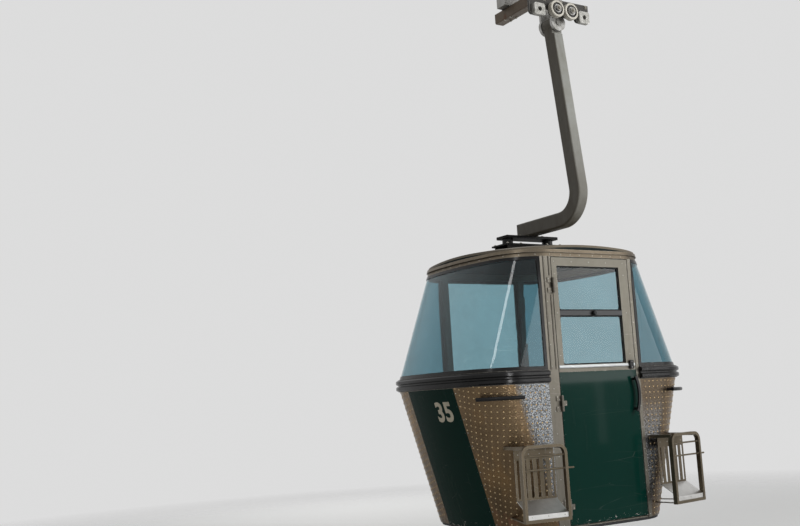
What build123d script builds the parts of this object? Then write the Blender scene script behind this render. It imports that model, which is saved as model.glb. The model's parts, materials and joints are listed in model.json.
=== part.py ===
"""Four-seat cable car cabin with its hanger and detachable rope grip.

Millimetres. X is the direction of travel, the door side faces -Y and Z is up.
The origin is the rope's centre in the grip. Heights of the cabin are measured
from the middle of its belt, heights of the hanger and the grip from the rope.
"""
import os
from math import atan, cos, radians, sin, sqrt

from build123d import *

# Cabin body, measured at the belt
CABIN_LENGTH = 1960
CABIN_WIDTH = 1260
CORNER_R = 300            # radius of the four corners
END_BOW_R = 2200          # the ends bow out slightly between the corners
BELT_Z = -2982            # belt below the rope
BELT_ABOVE = 30           # belt rail, above and below the belt line
BELT_BELOW = 60
RIM_BASE = 800            # foot of the roof rim above the belt line
RIM_HEIGHT = 50
BODY_DEPTH = 1015         # foot of the side walls below the belt line
UPPER_END_SLOPE = 0.382   # how far the ends lean in, per unit of height
LOWER_END_SLOPE = 0.300

# Walls
WALL = 24                 # lower panels, a double skin
RAIL_T = 34               # belt rail
RIM_T = 40
PANE_T = 6
POST_T = 42
FLOOR_T = 30
FOOT_T = 18               # base plate under the walls
FOOT_INSET = 8
FIT = 0.3                 # between a fitted piece and the wall that carries it
STRIPE_HALF = 285         # painted panel in the middle of each end

# Roof
ROOF_T = 22
ROOF_CROWN = 92           # crown above the rim
ROOF_R = 3700             # radius of the crown
GUTTER_OUT = 12
GUTTER_HEIGHT = 22

# Keel skid under the floor
SKID_LENGTH = 900
SKID_WIDTH = 270
SKID_DEPTH = 40
SKID_R = 18

# Door, hinged on its -X edge
DOOR_X = 30               # middle of the door
DOOR_WIDTH = 700
DOOR_BOTTOM = -1000       # below the belt line
DOOR_GAP = 6              # round the leaf
DOOR_T = 34
DOOR_SPLIT = 8            # window frame above this height, painted panel below
HINGE_STILE = 45
LATCH_STILE = 84
TOP_RAIL = 58
SILL_RAIL = 48
MID_RAIL_Z = 410
MID_RAIL = 34
SILL_DEPTH = 122          # from the side of the cabin to the floor plate
SILL_SETBACK = 4
KNOB_R = 17
KNOB_OUT = 24
KNOB_CHAMFER = 5
CATCH_SIZE = (32, 14, 60)
CATCH_Z = 44
LEVER_Z = (-40, -160, -285)   # bowed door handle: top, middle and foot
LEVER_BOW = (0, 22, -6)       # and how far each point stands towards the latch
LEVER_INSET = 40          # from the latch edge
LEVER_OUT = 34
LEVER_SECTION = (20, 14)
LEVER_FOOT_R = 9
LEVER_FEET = (0.08, 0.92)  # places of the two feet along the bar

# Hinges
HINGE_OUT = 14            # hinge axis outside the side wall
HINGE_SPOTS = (600, -200, -880)
KNUCKLE_R = 9
KNUCKLE_LENGTH = 34
KNUCKLE_GAP = 1
LEAF_REACH = 44
LEAF_T = 5
PIN_R = 4
PIN_GAP = 0.1

HINGE_POST = 92           # widths of the posts beside the door
LATCH_POST = 30
RIB_R = 6                 # two bright ribs on the hinge post
RIB_OFFSETS = (17, 62)    # from the door opening
FAR_WINDOW_HALF = 350     # fixed window opposite the door
FAR_POST = 46

# Rubber
SEAL_WIDTH = 24
SEAL_PROUD = 3
SEAL_T = 14
BUMPER_BASE = 12
BUMPER_OUT = 27
BUMPER_LIP = 2            # belt rail left bare above and below the bumper
BUMPER_RIDGE = 32
BUMPER_CHAMFER = 7

# Seats
SEAT_HEIGHT = 430         # above the floor
SEAT_DEPTH = 370
SEAT_T = 60
SEAT_WIDTH = 1060
BACK_T = 46
BACK_WIDTH = 900
BACK_DROP = 20            # top of the backrest below the belt rail
SKIRT_T = 18
SKIRT_SETBACK = 60

# Ski racks on the two corners of the door side
RACK_X = 638              # middle of the rack's face from the cabin's middle
RACK_OUT = 170            # and from the side of the cabin
RACK_TURN = 8.5           # degrees, each rack follows its corner
RACK_WIDTH = 336
RACK_TOP = -450
RACK_FOOT = -930
RACK_TUBE = 20            # width of the frame's tubes
RACK_TUBE_DEPTH = 32
RACK_CORNER_R = 60
RACK_PLATE = 5
RACK_ROD_R = 6
RACK_RODS = (-520, -606)  # heights of the two rods
ROD_OVERHANG = 50         # the lower rod runs past the frame on its +X side
BACK_SHEET_Y = 135        # back sheet behind the frame's face
SHEET_T = 4
SHEET_FOOT = -800
SHEET_SOLID = 95          # plain band at its top
SHEET_SLOTS = 6
SHEET_SLOT = 20
SKI_SLOTS = 4             # in the top plate
SKI_SLOT = 34
SKI_SLOT_MARGIN = 8
CHUTE_FRONT = -880        # the sloped floor meets the front wall at this height
CHUTE_SETBACK = 5
SHEET_MARGIN = 12
RACK_ARM_INSET = 12       # arms back to the body, from the frame's sides and top
RACK_ARM_DROP = 8
STRUT_WIDTH = 26
STRUT_T = 6
STRUTS = ((-155, 14), (105, 0))   # place of each strut, and its turn in degrees
RACK_REACH = 430          # arms and struts, before the body trims them

# Grab handles round the same corners
HANDLE_R = 13
HANDLE_OUT = 55
HANDLE_Z = -145
HANDLE_ANGLES = (10, 62)
HANDLE_FOOT_R = 10
HANDLE_FOOT_ANGLE = 4     # the feet stand this much inside the ends

# Hanger
ARM_X = 90                # section of the arm along the rope and across it
ARM_Y = 110
ARM_EDGE_R = 14
ARM_TOP_Y = -470
PIVOT_Z = -422            # the hanger's pin below the rope
ARM_KNEE_Y = -633
ARM_LOW_Z = -1877
ARM_END_Y = 70
ARM_BEND_R = 190
EYE_R = 56
EYE_WIDTH = 96
EYE_NECK = 24             # the arm is thinned to the eye's width this far below it
PIVOT_PIN_R = 24
PIN_PROUD = 8
CROSSHEAD_LENGTH = 500
CROSSHEAD_WIDTH = 150
CROSSHEAD_T = 18
CROSSHEAD_R = 30
BUFFER_R = 40
BUFFER_HEIGHT = 46
BUFFER_X = 190
BRACKET_T = 12
BRACKET_WEB = 16
BRACKET_MARGIN = 20

# Grip
ROPE_R = 20
JAW_LENGTH = 180
JAW_WALL = 30
BEAM_SIZE = 84
BEAM_R = 10
BEAM_Z = -150             # middle of the cross beam below the rope
BEAM_END_Y = 147
CHEEK_T = 22
CHEEK_GAP = 5
CHEEK_R = 64
CHEEK_HALF = 52           # half width of the fork above its eyes
WHEEL_R = 62
WHEEL_T = 40
WHEEL_X = 66
WHEEL_Z = -356
WHEEL_Y = -605
HUB_PROUD = 3
AXLE_R = 15
COLLAR = 7                # collars at the ends of an axle stand out by this much
COLLAR_T = 8
CARRIER_T = 20
CARRIER_Z = (-344, -260)  # plate that carries the wheels
CARRIER_HALF = 280
CARRIER_LEG = 30
HORN_X = 150              # its ends reach down from here outwards
HORN_FOOT_Z = -404
HORN_R = 24
LUG_X = (162, 258)        # bored lug on each end
LUG_Z = (-416, -326)
LUG_OUT = 32
LUG_BORE = 17
LUG_EDGE = 16
HUB_WALL = 16
RIM_WALL = 18
WHEEL_EDGE = 3            # bevels
WHEEL_END_GAP = 5         # between the hub and the collar
JAW_PIVOT_Y = 86          # pin of the moving jaw
JAW_PIVOT_Z = 14
JAW_PIN_R = 11
JAW_GAP = 5               # between the two jaws
BOSS_R = 24
BOSS_ROOT = 10            # the boss starts inside the fixed jaw
BOSS_WIDTH = 56
EAR_T = 18
EAR_GAP = 5
LEVER_HALF = 14           # half height of the lever's two bars
LEVER_END_Y = 230
LEVER_WEB = 50
ROLLER_R = 20
ROLLER_PIN_R = 8
ROLLER_GAP = 2
PLUNGER_Y = 190
PLUNGER_R = 10
PLUNGER_REACH = 4         # how far the plunger stands in the pot
POT_Y = 179               # spring pot under the lever
POT_R = 40
POT_WALL = 10
POT_HEIGHT = 39
POT_FLOOR = 4

# Derived places
HALF_L = CABIN_LENGTH / 2
HALF_W = CABIN_WIDTH / 2
CENTRE_Y = HALF_W - CORNER_R
UPPER_BASE = BELT_ABOVE
LOWER_TOP = -BELT_BELOW
RIM_TOP = RIM_BASE + RIM_HEIGHT
FLOOR_TOP = -BODY_DEPTH + FLOOR_T
DOOR_LEFT = DOOR_X - DOOR_WIDTH / 2
DOOR_RIGHT = DOOR_X + DOOR_WIDTH / 2
DOOR_TOP = RIM_BASE - DOOR_GAP
OPEN_LEFT = DOOR_LEFT - DOOR_GAP
OPEN_RIGHT = DOOR_RIGHT + DOOR_GAP
POST_LEFT = OPEN_LEFT - HINGE_POST
POST_RIGHT = OPEN_RIGHT + LATCH_POST
HINGE_X = DOOR_LEFT - DOOR_GAP / 2
HINGE_Y = -HALF_W - HINGE_OUT
BEAM_HALF = BEAM_SIZE / 2
JAW_SEAT = -BEAM_Z - BEAM_HALF   # from the rope to the beam's top
SPAN = 1500               # larger than the cabin, for cutting blocks

# Zones of the body: how its ends lean, and the height where CABIN_LENGTH is measured
UPPER = (atan(UPPER_END_SLOPE), UPPER_BASE)
MIDDLE = (0, 0)
LOWER = (-atan(LOWER_END_SLOPE), LOWER_TOP)

parts = {}


def block(x0, x1, y0, y1, z0, z1):
    """Box between two corners."""
    size = (x1 - x0, y1 - y0, z1 - z0)
    return Pos((x0 + x1) / 2, (y0 + y1) / 2, (z0 + z1) / 2) * Box(*size)


def rod(start, end, radius):
    """Round bar between two points."""
    a, b = Vector(start), Vector(end)
    plane = Plane(origin=a, z_dir=b - a)
    return extrude(plane * Circle(radius), (b - a).length)


def corner_centre(tilt):
    """Distance along the tilted section from the middle to a corner's centre."""
    bow_x = HALF_L * cos(tilt) - END_BOW_R
    return bow_x, bow_x + sqrt((END_BOW_R - CORNER_R) ** 2 - CENTRE_Y ** 2)


def end_section(tilt, inset):
    """Half outline of the cabin, drawn square to its leaning corners.

    Two corner arcs run tangent into the sides and into the bowed end, so every
    wall that follows this outline is made of flat and round faces alone.
    """
    bow_x, centre_x = corner_centre(tilt)
    width, corner = HALF_W - inset, CORNER_R - inset
    centre = Vector(centre_x, CENTRE_Y)
    join = centre + (centre - Vector(bow_x, 0)).normalized() * corner
    middle = centre + ((join - centre) + Vector(0, corner)).normalized() * corner
    tip = HALF_L * cos(tilt) - inset
    edges = [Line((-SPAN, -width), (-SPAN, width)),
             ThreePointArc((join.X, -join.Y), (tip, 0), (join.X, join.Y))]
    for side in (-1, 1):
        edges.append(Line((-SPAN, side * width), (centre_x, side * width)))
        edges.append(ThreePointArc((centre_x, side * width), (middle.X, side * middle.Y),
                                   (join.X, side * join.Y)))
    return Face(Wire(edges))


def hull(zone, inset, z0, z1):
    """The cabin's solid outline between two heights, moved in by inset."""
    tilt, base = zone
    plane = Plane(origin=(0, 0, base), x_dir=(cos(tilt), 0, sin(tilt)), z_dir=(-sin(tilt), 0, cos(tilt)))
    front = extrude(plane * end_section(tilt, inset), SPAN, both=True)
    front &= block(0, SPAN, -SPAN, SPAN, z0, z1)
    return front + mirror(front, Plane.YZ)


def ring(zone, z0, z1, outer, inner):
    """Wall between two heights and two insets."""
    return hull(zone, outer, z0, z1) - hull(zone, inner, z0 - 1, z1 + 1)


def beside_door(sign):
    """Everything to one side of the door, ending at its post."""
    if sign < 0:
        return block(-SPAN, POST_LEFT, -SPAN, SPAN, -SPAN, SPAN) + block(-SPAN, 0, 0, SPAN, -SPAN, SPAN)
    return block(POST_RIGHT, SPAN, -SPAN, SPAN, -SPAN, SPAN) + block(0, SPAN, 0, SPAN, -SPAN, SPAN)


def put(name, shape):
    """Store a sub-part; like pieces that share a name become one node of several solids."""
    parts.setdefault(name, []).extend(shape.solids())


def add(name, shape):
    """Store a sub-part that was drawn from the belt line."""
    put(name, Pos(0, 0, BELT_Z) * shape)


def lower_panels():
    """Painted middle panel of each end, and the bare panels round the corners."""
    tub = ring(LOWER, -BODY_DEPTH, LOWER_TOP, 0, WALL)
    column = (-SPAN, SPAN)
    for sign, end in ((-1, "rear"), (1, "front")):
        x0, x1 = sorted((0, sign * SPAN))
        add(f"{end}_stripe_panel", tub & block(x0, x1, -STRIPE_HALF, STRIPE_HALF, *column))
        edge = POST_LEFT if sign < 0 else POST_RIGHT
        x0, x1 = sorted((edge, sign * SPAN))
        add(f"{end}_door_side_panel", tub & block(x0, x1, -SPAN, -STRIPE_HALF, *column))
        x0, x1 = sorted((sign * FAR_WINDOW_HALF, sign * SPAN))
        add(f"{end}_far_side_panel", tub & block(x0, x1, STRIPE_HALF, SPAN, *column))
    add("far_side_panel", tub & block(-FAR_WINDOW_HALF, FAR_WINDOW_HALF, 0, SPAN, *column))


def belt():
    """Belt rail, open at the door, with its two ridged rubber bumpers."""
    rail = ring(MIDDLE, -BELT_BELOW, BELT_ABOVE, 0, RAIL_T)
    add("belt_rail", rail - block(POST_LEFT, POST_RIGHT, -SPAN, 0, -SPAN, SPAN))
    low, high = -BELT_BELOW + BUMPER_LIP, BELT_ABOVE - BUMPER_LIP
    band = hull(MIDDLE, -BUMPER_BASE, low, high)
    half_gap = (high - low - 2 * BUMPER_RIDGE) / 4
    for foot in (low + half_gap, high - half_gap - BUMPER_RIDGE):
        ridge = hull(MIDDLE, -BUMPER_OUT, foot, foot + BUMPER_RIDGE)
        rims = ridge.faces().filter_by(Axis.Z).edges()
        band += chamfer(rims, BUMPER_CHAMFER)
    band -= hull(MIDDLE, 0, low - 1, high + 1)
    for sign, end in ((-1, "rear"), (1, "front")):
        add(f"{end}_bumper", band & beside_door(sign))


def windows():
    """Panes that wrap round each end, the far side window and their seals."""
    middle = SEAL_T / 2 - SEAL_PROUD
    pane = ring(UPPER, UPPER_BASE, RIM_BASE, middle - PANE_T / 2, middle + PANE_T / 2)
    seal = ring(UPPER, UPPER_BASE, RIM_BASE, -SEAL_PROUD, SEAL_T - SEAL_PROUD)
    post = ring(UPPER, UPPER_BASE, RIM_BASE, 0, POST_T)
    glazed = (UPPER_BASE + SEAL_WIDTH, RIM_BASE - SEAL_WIDTH)
    far = FAR_WINDOW_HALF + FAR_POST
    for sign, end in ((-1, "rear"), (1, "front")):
        edge = POST_LEFT if sign < 0 else POST_RIGHT
        near0, near1 = sorted((edge, sign * SPAN))
        far0, far1 = sorted((sign * far, sign * SPAN))
        region = block(near0, near1, -SPAN, 0, -SPAN, SPAN) + block(far0, far1, 0, SPAN, -SPAN, SPAN)
        near0, near1 = sorted((edge + sign * SEAL_WIDTH, sign * SPAN))
        far0, far1 = sorted((sign * (far + SEAL_WIDTH), sign * SPAN))
        opening = block(near0, near1, -SPAN, 0, *glazed) + block(far0, far1, 0, SPAN, *glazed)
        add(f"{end}_window", pane & opening)
        add("window_seals", (seal & region) - opening)
        x0, x1 = sorted((sign * FAR_WINDOW_HALF, sign * far))
        add("far_side_posts", post & block(x0, x1, 0, SPAN, -SPAN, SPAN))
    region = block(-FAR_WINDOW_HALF, FAR_WINDOW_HALF, 0, SPAN, -SPAN, SPAN)
    inner = FAR_WINDOW_HALF - SEAL_WIDTH
    opening = block(-inner, inner, 0, SPAN, *glazed)
    add("far_side_window", pane & opening)
    add("window_seals", (seal & region) - opening)


def door_posts():
    """Posts from the underside to the rim; the hinge post has two bright ribs."""
    for name, x0, x1 in (("hinge_post", POST_LEFT, OPEN_LEFT), ("latch_post", OPEN_RIGHT, POST_RIGHT)):
        post = block(x0, x1, -HALF_W, -HALF_W + POST_T, -BODY_DEPTH, RIM_BASE)
        if name == "hinge_post":
            for offset in RIB_OFFSETS:
                x = OPEN_LEFT - offset
                post += rod((x, -HALF_W, UPPER_BASE), (x, -HALF_W, RIM_BASE), RIB_R)
            reach = 2 * KNUCKLE_LENGTH
            for z in HINGE_SPOTS:
                post -= block(HINGE_X - LEAF_REACH - RIB_R, HINGE_X, -SPAN, -HALF_W, z - reach, z + reach)
        add(name, post)


def roof():
    """Rim ring with a gutter lip, and the crowned roof that it carries."""
    rim = ring(UPPER, RIM_BASE, RIM_TOP, 0, RIM_T)
    rim += ring(UPPER, RIM_TOP - GUTTER_HEIGHT, RIM_TOP, -GUTTER_OUT, RIM_T)
    add("roof_rim", rim)
    add("roof_shell", crown(0, RIM_TOP) - crown(ROOF_T, RIM_TOP - 1))


def crown(inset, foot):
    """Solid under the crown: the rim's outline cut by a large sphere."""
    column = hull(UPPER, inset - GUTTER_OUT / 2, foot, RIM_TOP + ROOF_CROWN)
    top = RIM_TOP + ROOF_CROWN
    return column & (Pos(0, 0, top - ROOF_R) * Rot(0, 90, 0) * Sphere(ROOF_R - inset))


def floor():
    """Base plate under the walls, floor between them, door sill and keel skid."""
    low = -BODY_DEPTH
    plate = hull(LOWER, WALL + FIT, low - FIT, FLOOR_TOP)
    plate -= block(POST_LEFT - FIT, POST_RIGHT + FIT, -SPAN, -HALF_W + POST_T + FIT, -SPAN, SPAN)
    plate -= block(OPEN_LEFT - FIT, OPEN_RIGHT + FIT, -SPAN, -HALF_W + SILL_DEPTH + FIT, -SPAN, SPAN)
    plate += hull(LOWER, FOOT_INSET, low - FOOT_T, low - FIT)
    add("floor", plate)
    step_y = -HALF_W + DOOR_T + DOOR_GAP
    back_y = -HALF_W + SILL_DEPTH
    sill = block(OPEN_LEFT, OPEN_RIGHT, -HALF_W + SILL_SETBACK, back_y, low, DOOR_BOTTOM - DOOR_GAP)
    sill += block(OPEN_LEFT, OPEN_RIGHT, step_y, back_y, low, FLOOR_TOP)
    add("door_sill", sill)
    top = low - FOOT_T
    skid = block(-SKID_LENGTH / 2, SKID_LENGTH / 2, -SKID_WIDTH / 2, SKID_WIDTH / 2, top - SKID_DEPTH, top)
    add("keel_skid", fillet(skid.edges().filter_by(Axis.X).group_by(Axis.Z)[0], SKID_R))


def seats():
    """A bench, its skirt and a backrest at each end."""
    top = FLOOR_TOP + SEAT_HEIGHT
    fitted = WALL + FIT
    back_top = LOWER_TOP - BACK_DROP
    bench = hull(LOWER, fitted, top - SEAT_T, top)
    lining = ring(LOWER, top + FIT, back_top, fitted, fitted + BACK_T)
    front = HALF_L - LOWER_END_SLOPE * (LOWER_TOP - top) - WALL - SEAT_DEPTH
    for sign in (-1, 1):
        x0, x1 = sorted((sign * front, sign * SPAN))
        add("seats", bench & block(x0, x1, -SEAT_WIDTH / 2, SEAT_WIDTH / 2, -SPAN, SPAN))
        add("backrests", lining & block(x0, x1, -BACK_WIDTH / 2, BACK_WIDTH / 2, -SPAN, SPAN))
        setback = front + SKIRT_SETBACK
        x0, x1 = sorted((sign * setback, sign * (setback + SKIRT_T)))
        add("seat_skirts", block(x0, x1, -SEAT_WIDTH / 2, SEAT_WIDTH / 2, FLOOR_TOP, top - SEAT_T))


def leaf(z0, z1, outer, inner):
    """The part of the door leaf between two heights and two depths."""
    return block(DOOR_LEFT, DOOR_RIGHT, -HALF_W + outer, -HALF_W + inner, z0, z1)


def door():
    """Painted panel, window frame with a middle rail, panes, knob, catch and lever."""
    add("door_panel", leaf(DOOR_BOTTOM, DOOR_SPLIT, 0, DOOR_T))
    frame = leaf(DOOR_SPLIT, DOOR_TOP, 0, DOOR_T)
    glass_x = (DOOR_LEFT + HINGE_STILE, DOOR_RIGHT - LATCH_STILE)
    lights = ((DOOR_SPLIT + SILL_RAIL, MID_RAIL_Z - MID_RAIL / 2),
              (MID_RAIL_Z + MID_RAIL / 2, DOOR_TOP - TOP_RAIL))
    glass = leaf(DOOR_SPLIT, DOOR_TOP, DOOR_T / 2 - PANE_T / 2, DOOR_T / 2 + PANE_T / 2)
    for z0, z1 in lights:
        opening = block(*glass_x, -SPAN, 0, z0, z1)
        frame -= opening
        add("door_glass", glass & opening)
    add("door_window_frame", frame)
    knob = rod((DOOR_X, -HALF_W, MID_RAIL_Z), (DOOR_X, -HALF_W - KNOB_OUT, MID_RAIL_Z), KNOB_R)
    add("door_knob", chamfer(knob.edges().group_by(Axis.Y)[0], KNOB_CHAMFER))
    width, depth, height = CATCH_SIZE
    catch_x = DOOR_RIGHT - LATCH_STILE / 2
    add("door_catch", block(catch_x - width / 2, catch_x + width / 2, -HALF_W - depth, -HALF_W,
                            CATCH_Z - height / 2, CATCH_Z + height / 2))
    add("door_lever", lever())


def lever():
    """Bowed bar on two feet at the latch edge, just under the belt."""
    x, y = DOOR_RIGHT - LEVER_INSET, -HALF_W - LEVER_OUT
    path = ThreePointArc(*[(x + bow, y, z) for bow, z in zip(LEVER_BOW, LEVER_Z)])
    bar = sweep(Plane(origin=path @ 0, z_dir=path % 0) * Rectangle(*LEVER_SECTION), path)
    for share in LEVER_FEET:
        spot = path @ share
        bar += rod((spot.X, y, spot.Z), (spot.X, -HALF_W, spot.Z), LEVER_FOOT_R)
    return bar


def hinges():
    """Three butt hinges whose axis stands outside the side wall: post half, door half."""
    pitch = KNUCKLE_LENGTH + KNUCKLE_GAP
    post_half, door_half = [], []
    for z in HINGE_SPOTS:
        door_half += hinge_leaf(z, 1).solids()
        pin_reach = pitch + KNUCKLE_LENGTH / 2 + KNUCKLE_GAP
        fixed = rod((HINGE_X, HINGE_Y, z - pin_reach), (HINGE_X, HINGE_Y, z + pin_reach), PIN_R)
        for level in (z - pitch, z + pitch):
            fixed += hinge_leaf(level, -1)
        post_half += fixed.solids()
    return post_half, door_half


def hinge_leaf(z, side):
    """One knuckle with its plate, towards the door or towards the post."""
    low, high = z - KNUCKLE_LENGTH / 2, z + KNUCKLE_LENGTH / 2
    x0, x1 = sorted((HINGE_X + side * DOOR_GAP / 2, HINGE_X + side * LEAF_REACH))
    plate = block(x0, x1, -HALF_W - LEAF_T, -HALF_W, low, high)
    x0, x1 = sorted((HINGE_X + side * DOOR_GAP / 2, HINGE_X + side * KNUCKLE_R))
    neck = block(x0, x1, HINGE_Y, -HALF_W, low, high)
    barrel = rod((HINGE_X, HINGE_Y, low), (HINGE_X, HINGE_Y, high), KNUCKLE_R)
    bore = PIN_R + PIN_GAP if side > 0 else PIN_R
    return plate + neck + barrel - rod((HINGE_X, HINGE_Y, low), (HINGE_X, HINGE_Y, high), bore)


def rack_outline(width, height, corner):
    """Upright plate outline with its two upper corners rounded, foot at z = 0."""
    face = Pos(0, height / 2) * Rectangle(width, height)
    return Plane.XZ * fillet(face.vertices().group_by(Axis.Y)[-1], corner)


def rack_frame(overhang):
    """Tube frame, top plate with ski slots, two rods and the arms back to the body.

    Drawn in the rack's own axes: X along its face, Y towards the body.
    """
    height = RACK_TOP - RACK_FOOT
    half = RACK_WIDTH / 2
    inner = half - RACK_TUBE
    inward = (0, 1, 0)
    loop = extrude(rack_outline(RACK_WIDTH, height, RACK_CORNER_R), RACK_TUBE_DEPTH, dir=inward)
    hole = Pos(0, 0, RACK_TUBE) * rack_outline(2 * inner, height - 2 * RACK_TUBE, RACK_CORNER_R - RACK_TUBE)
    frame = Pos(0, 0, RACK_FOOT) * (loop - extrude(hole, RACK_TUBE_DEPTH, dir=inward))
    side, top = half - RACK_ARM_INSET, RACK_TOP - RACK_ARM_DROP
    for x in (-side, side - RACK_TUBE):
        frame += block(x, x + RACK_TUBE, RACK_TUBE_DEPTH / 2, RACK_REACH, top - RACK_TUBE, top)
    plate = block(-side, side, RACK_TUBE_DEPTH / 2, BACK_SHEET_Y + SHEET_T, top - RACK_PLATE, top)
    pitch = 2 * (side - RACK_TUBE) / SKI_SLOTS
    for count in range(SKI_SLOTS):
        x = (count - (SKI_SLOTS - 1) / 2) * pitch
        plate -= block(x - SKI_SLOT / 2, x + SKI_SLOT / 2, RACK_TUBE_DEPTH + SKI_SLOT_MARGIN,
                       BACK_SHEET_Y - SKI_SLOT_MARGIN, RACK_FOOT, 0)
    frame += plate
    ends = ((-inner, inner), sorted((-overhang * inner, overhang * (half + ROD_OVERHANG))))
    for z, (x0, x1) in zip(RACK_RODS, ends):
        frame += rod((x0, RACK_TUBE_DEPTH / 2, z), (x1, RACK_TUBE_DEPTH / 2, z), RACK_ROD_R)
    for x, turn in STRUTS:
        bar = block(-STRUT_WIDTH / 2, STRUT_WIDTH / 2, 0, RACK_REACH, RACK_FOOT, RACK_FOOT + STRUT_T)
        frame += Pos(x, RACK_TUBE_DEPTH / 2, 0) * Rot(0, 0, -turn) * bar
    return frame


def rack_sheet():
    """Back sheet of a rack, slotted below a plain band."""
    half = RACK_WIDTH / 2 - RACK_TUBE
    top = RACK_TOP - RACK_ARM_DROP - RACK_TUBE - FIT
    sheet = block(-half, half, BACK_SHEET_Y, BACK_SHEET_Y + SHEET_T, SHEET_FOOT - SHEET_T, top)
    pitch = 2 * half / SHEET_SLOTS
    for count in range(SHEET_SLOTS):
        x = (count - (SHEET_SLOTS - 1) / 2) * pitch
        sheet -= block(x - SHEET_SLOT / 2, x + SHEET_SLOT / 2, 0, SPAN,
                       SHEET_FOOT + SHEET_MARGIN, RACK_TOP - SHEET_SOLID)
    return sheet


def rack_chute():
    """Sloped floor of a rack, bent down into its front wall."""
    half = RACK_WIDTH / 2 - RACK_TUBE - FIT
    front, back = CHUTE_SETBACK, BACK_SHEET_Y - FIT
    foot = RACK_FOOT + RACK_TUBE + FIT
    slope = (SHEET_FOOT - CHUTE_FRONT) / (back - front)
    fold = CHUTE_FRONT - SHEET_T + slope * SHEET_T
    points = [(front, foot), (front, CHUTE_FRONT), (back, SHEET_FOOT), (back, SHEET_FOOT - SHEET_T),
              (front + SHEET_T, fold), (front + SHEET_T, foot)]
    profile = make_face(Polyline([(-half, y, z) for y, z in points], close=True).edges())
    return extrude(profile, 2 * half, dir=(1, 0, 0))


def racks():
    """The rear rack stands at its corner, the front one is its mirror image."""
    body = hull(LOWER, 0, -BODY_DEPTH, LOWER_TOP)
    spot = Pos(-RACK_X, -HALF_W - RACK_OUT, 0) * Rot(0, 0, -RACK_TURN)
    for overhang, end in ((1, "rear"), (-1, "front")):
        pieces = [(f"{end}_rack_frame", spot * rack_frame(overhang) - body),
                  ("rack_slats", spot * rack_sheet()), ("rack_trays", spot * rack_chute())]
        for name, piece in pieces:
            add(name, piece if end == "rear" else mirror(piece, Plane.YZ))


def grab_handles():
    """Curved bars that stand off the two door side corners."""
    tilt, base = LOWER
    centre_x = corner_centre(tilt)[1] / cos(tilt) - LOWER_END_SLOPE * (base - HANDLE_Z)
    body = hull(LOWER, 0, -BODY_DEPTH, LOWER_TOP)
    first, last = HANDLE_ANGLES

    def spot(angle, radius=CORNER_R + HANDLE_OUT):
        turn = radians(angle)
        return centre_x + radius * sin(turn), -CENTRE_Y - radius * cos(turn), HANDLE_Z

    start = Vector(spot(first))
    round_axis = Axis((centre_x, -CENTRE_Y, HANDLE_Z), (0, 0, 1))
    section = Plane(origin=start, z_dir=(cos(radians(first)), sin(radians(first)), 0)) * Circle(HANDLE_R)
    bar = revolve(section, round_axis, last - first)
    for angle in (first + HANDLE_FOOT_ANGLE, last - HANDLE_FOOT_ANGLE):
        bar += rod(spot(angle), spot(angle, CORNER_R - WALL), HANDLE_FOOT_R)
    bar -= body
    add("grab_handles", bar)
    add("grab_handles", mirror(bar, Plane.YZ))


def hanger():
    """Bent box arm with its eye, crosshead, rubber buffers and roof bracket."""
    path = FilletPolyline((ARM_TOP_Y, PIVOT_Z), (ARM_KNEE_Y, ARM_LOW_Z), (ARM_END_Y, ARM_LOW_Z),
                          radius=ARM_BEND_R)
    arm = extrude(Plane.YZ * trace(path, ARM_Y), ARM_X / 2, both=True)
    arm = fillet(arm.faces().filter_by(Axis.X).edges(), ARM_EDGE_R)
    arm &= block(-SPAN, SPAN, -SPAN, SPAN, -2 * SPAN, PIVOT_Z)
    near, far = ARM_TOP_Y - EYE_WIDTH / 2, ARM_TOP_Y + EYE_WIDTH / 2
    neck = PIVOT_Z - EYE_R - EYE_NECK
    arm -= block(-SPAN, SPAN, -SPAN, near, neck, SPAN)
    arm -= block(-SPAN, SPAN, far, SPAN, neck, SPAN)
    arm += rod((0, near, PIVOT_Z), (0, far, PIVOT_Z), EYE_R)
    arm -= rod((0, near - ARM_Y, PIVOT_Z), (0, far + ARM_Y, PIVOT_Z), PIVOT_PIN_R + PIN_GAP)
    put("hanger_arm", arm)
    half_l, half_w = CROSSHEAD_LENGTH / 2, CROSSHEAD_WIDTH / 2
    top = ARM_LOW_Z - ARM_Y / 2
    head = block(-half_l, half_l, -half_w, half_w, top - CROSSHEAD_T, top)
    put("suspension_crosshead", fillet(head.edges().filter_by(Axis.Z), CROSSHEAD_R))
    foot = top - CROSSHEAD_T - BUFFER_HEIGHT
    for x in (-BUFFER_X, BUFFER_X):
        put("rubber_buffers", rod((x, 0, foot), (x, 0, top - CROSSHEAD_T), BUFFER_R))
    margin, web = BRACKET_MARGIN, BRACKET_WEB / 2
    bracket = block(-half_l - margin, half_l + margin, -half_w - margin, half_w + margin,
                    foot - BRACKET_T, foot)
    for y in (-half_w, half_w):
        bracket += block(-half_l, half_l, y - web, y + web, BELT_Z + RIM_TOP, foot)
    put("roof_bracket", bracket - Pos(0, 0, BELT_Z) * crown(0, RIM_TOP - 1))


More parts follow.
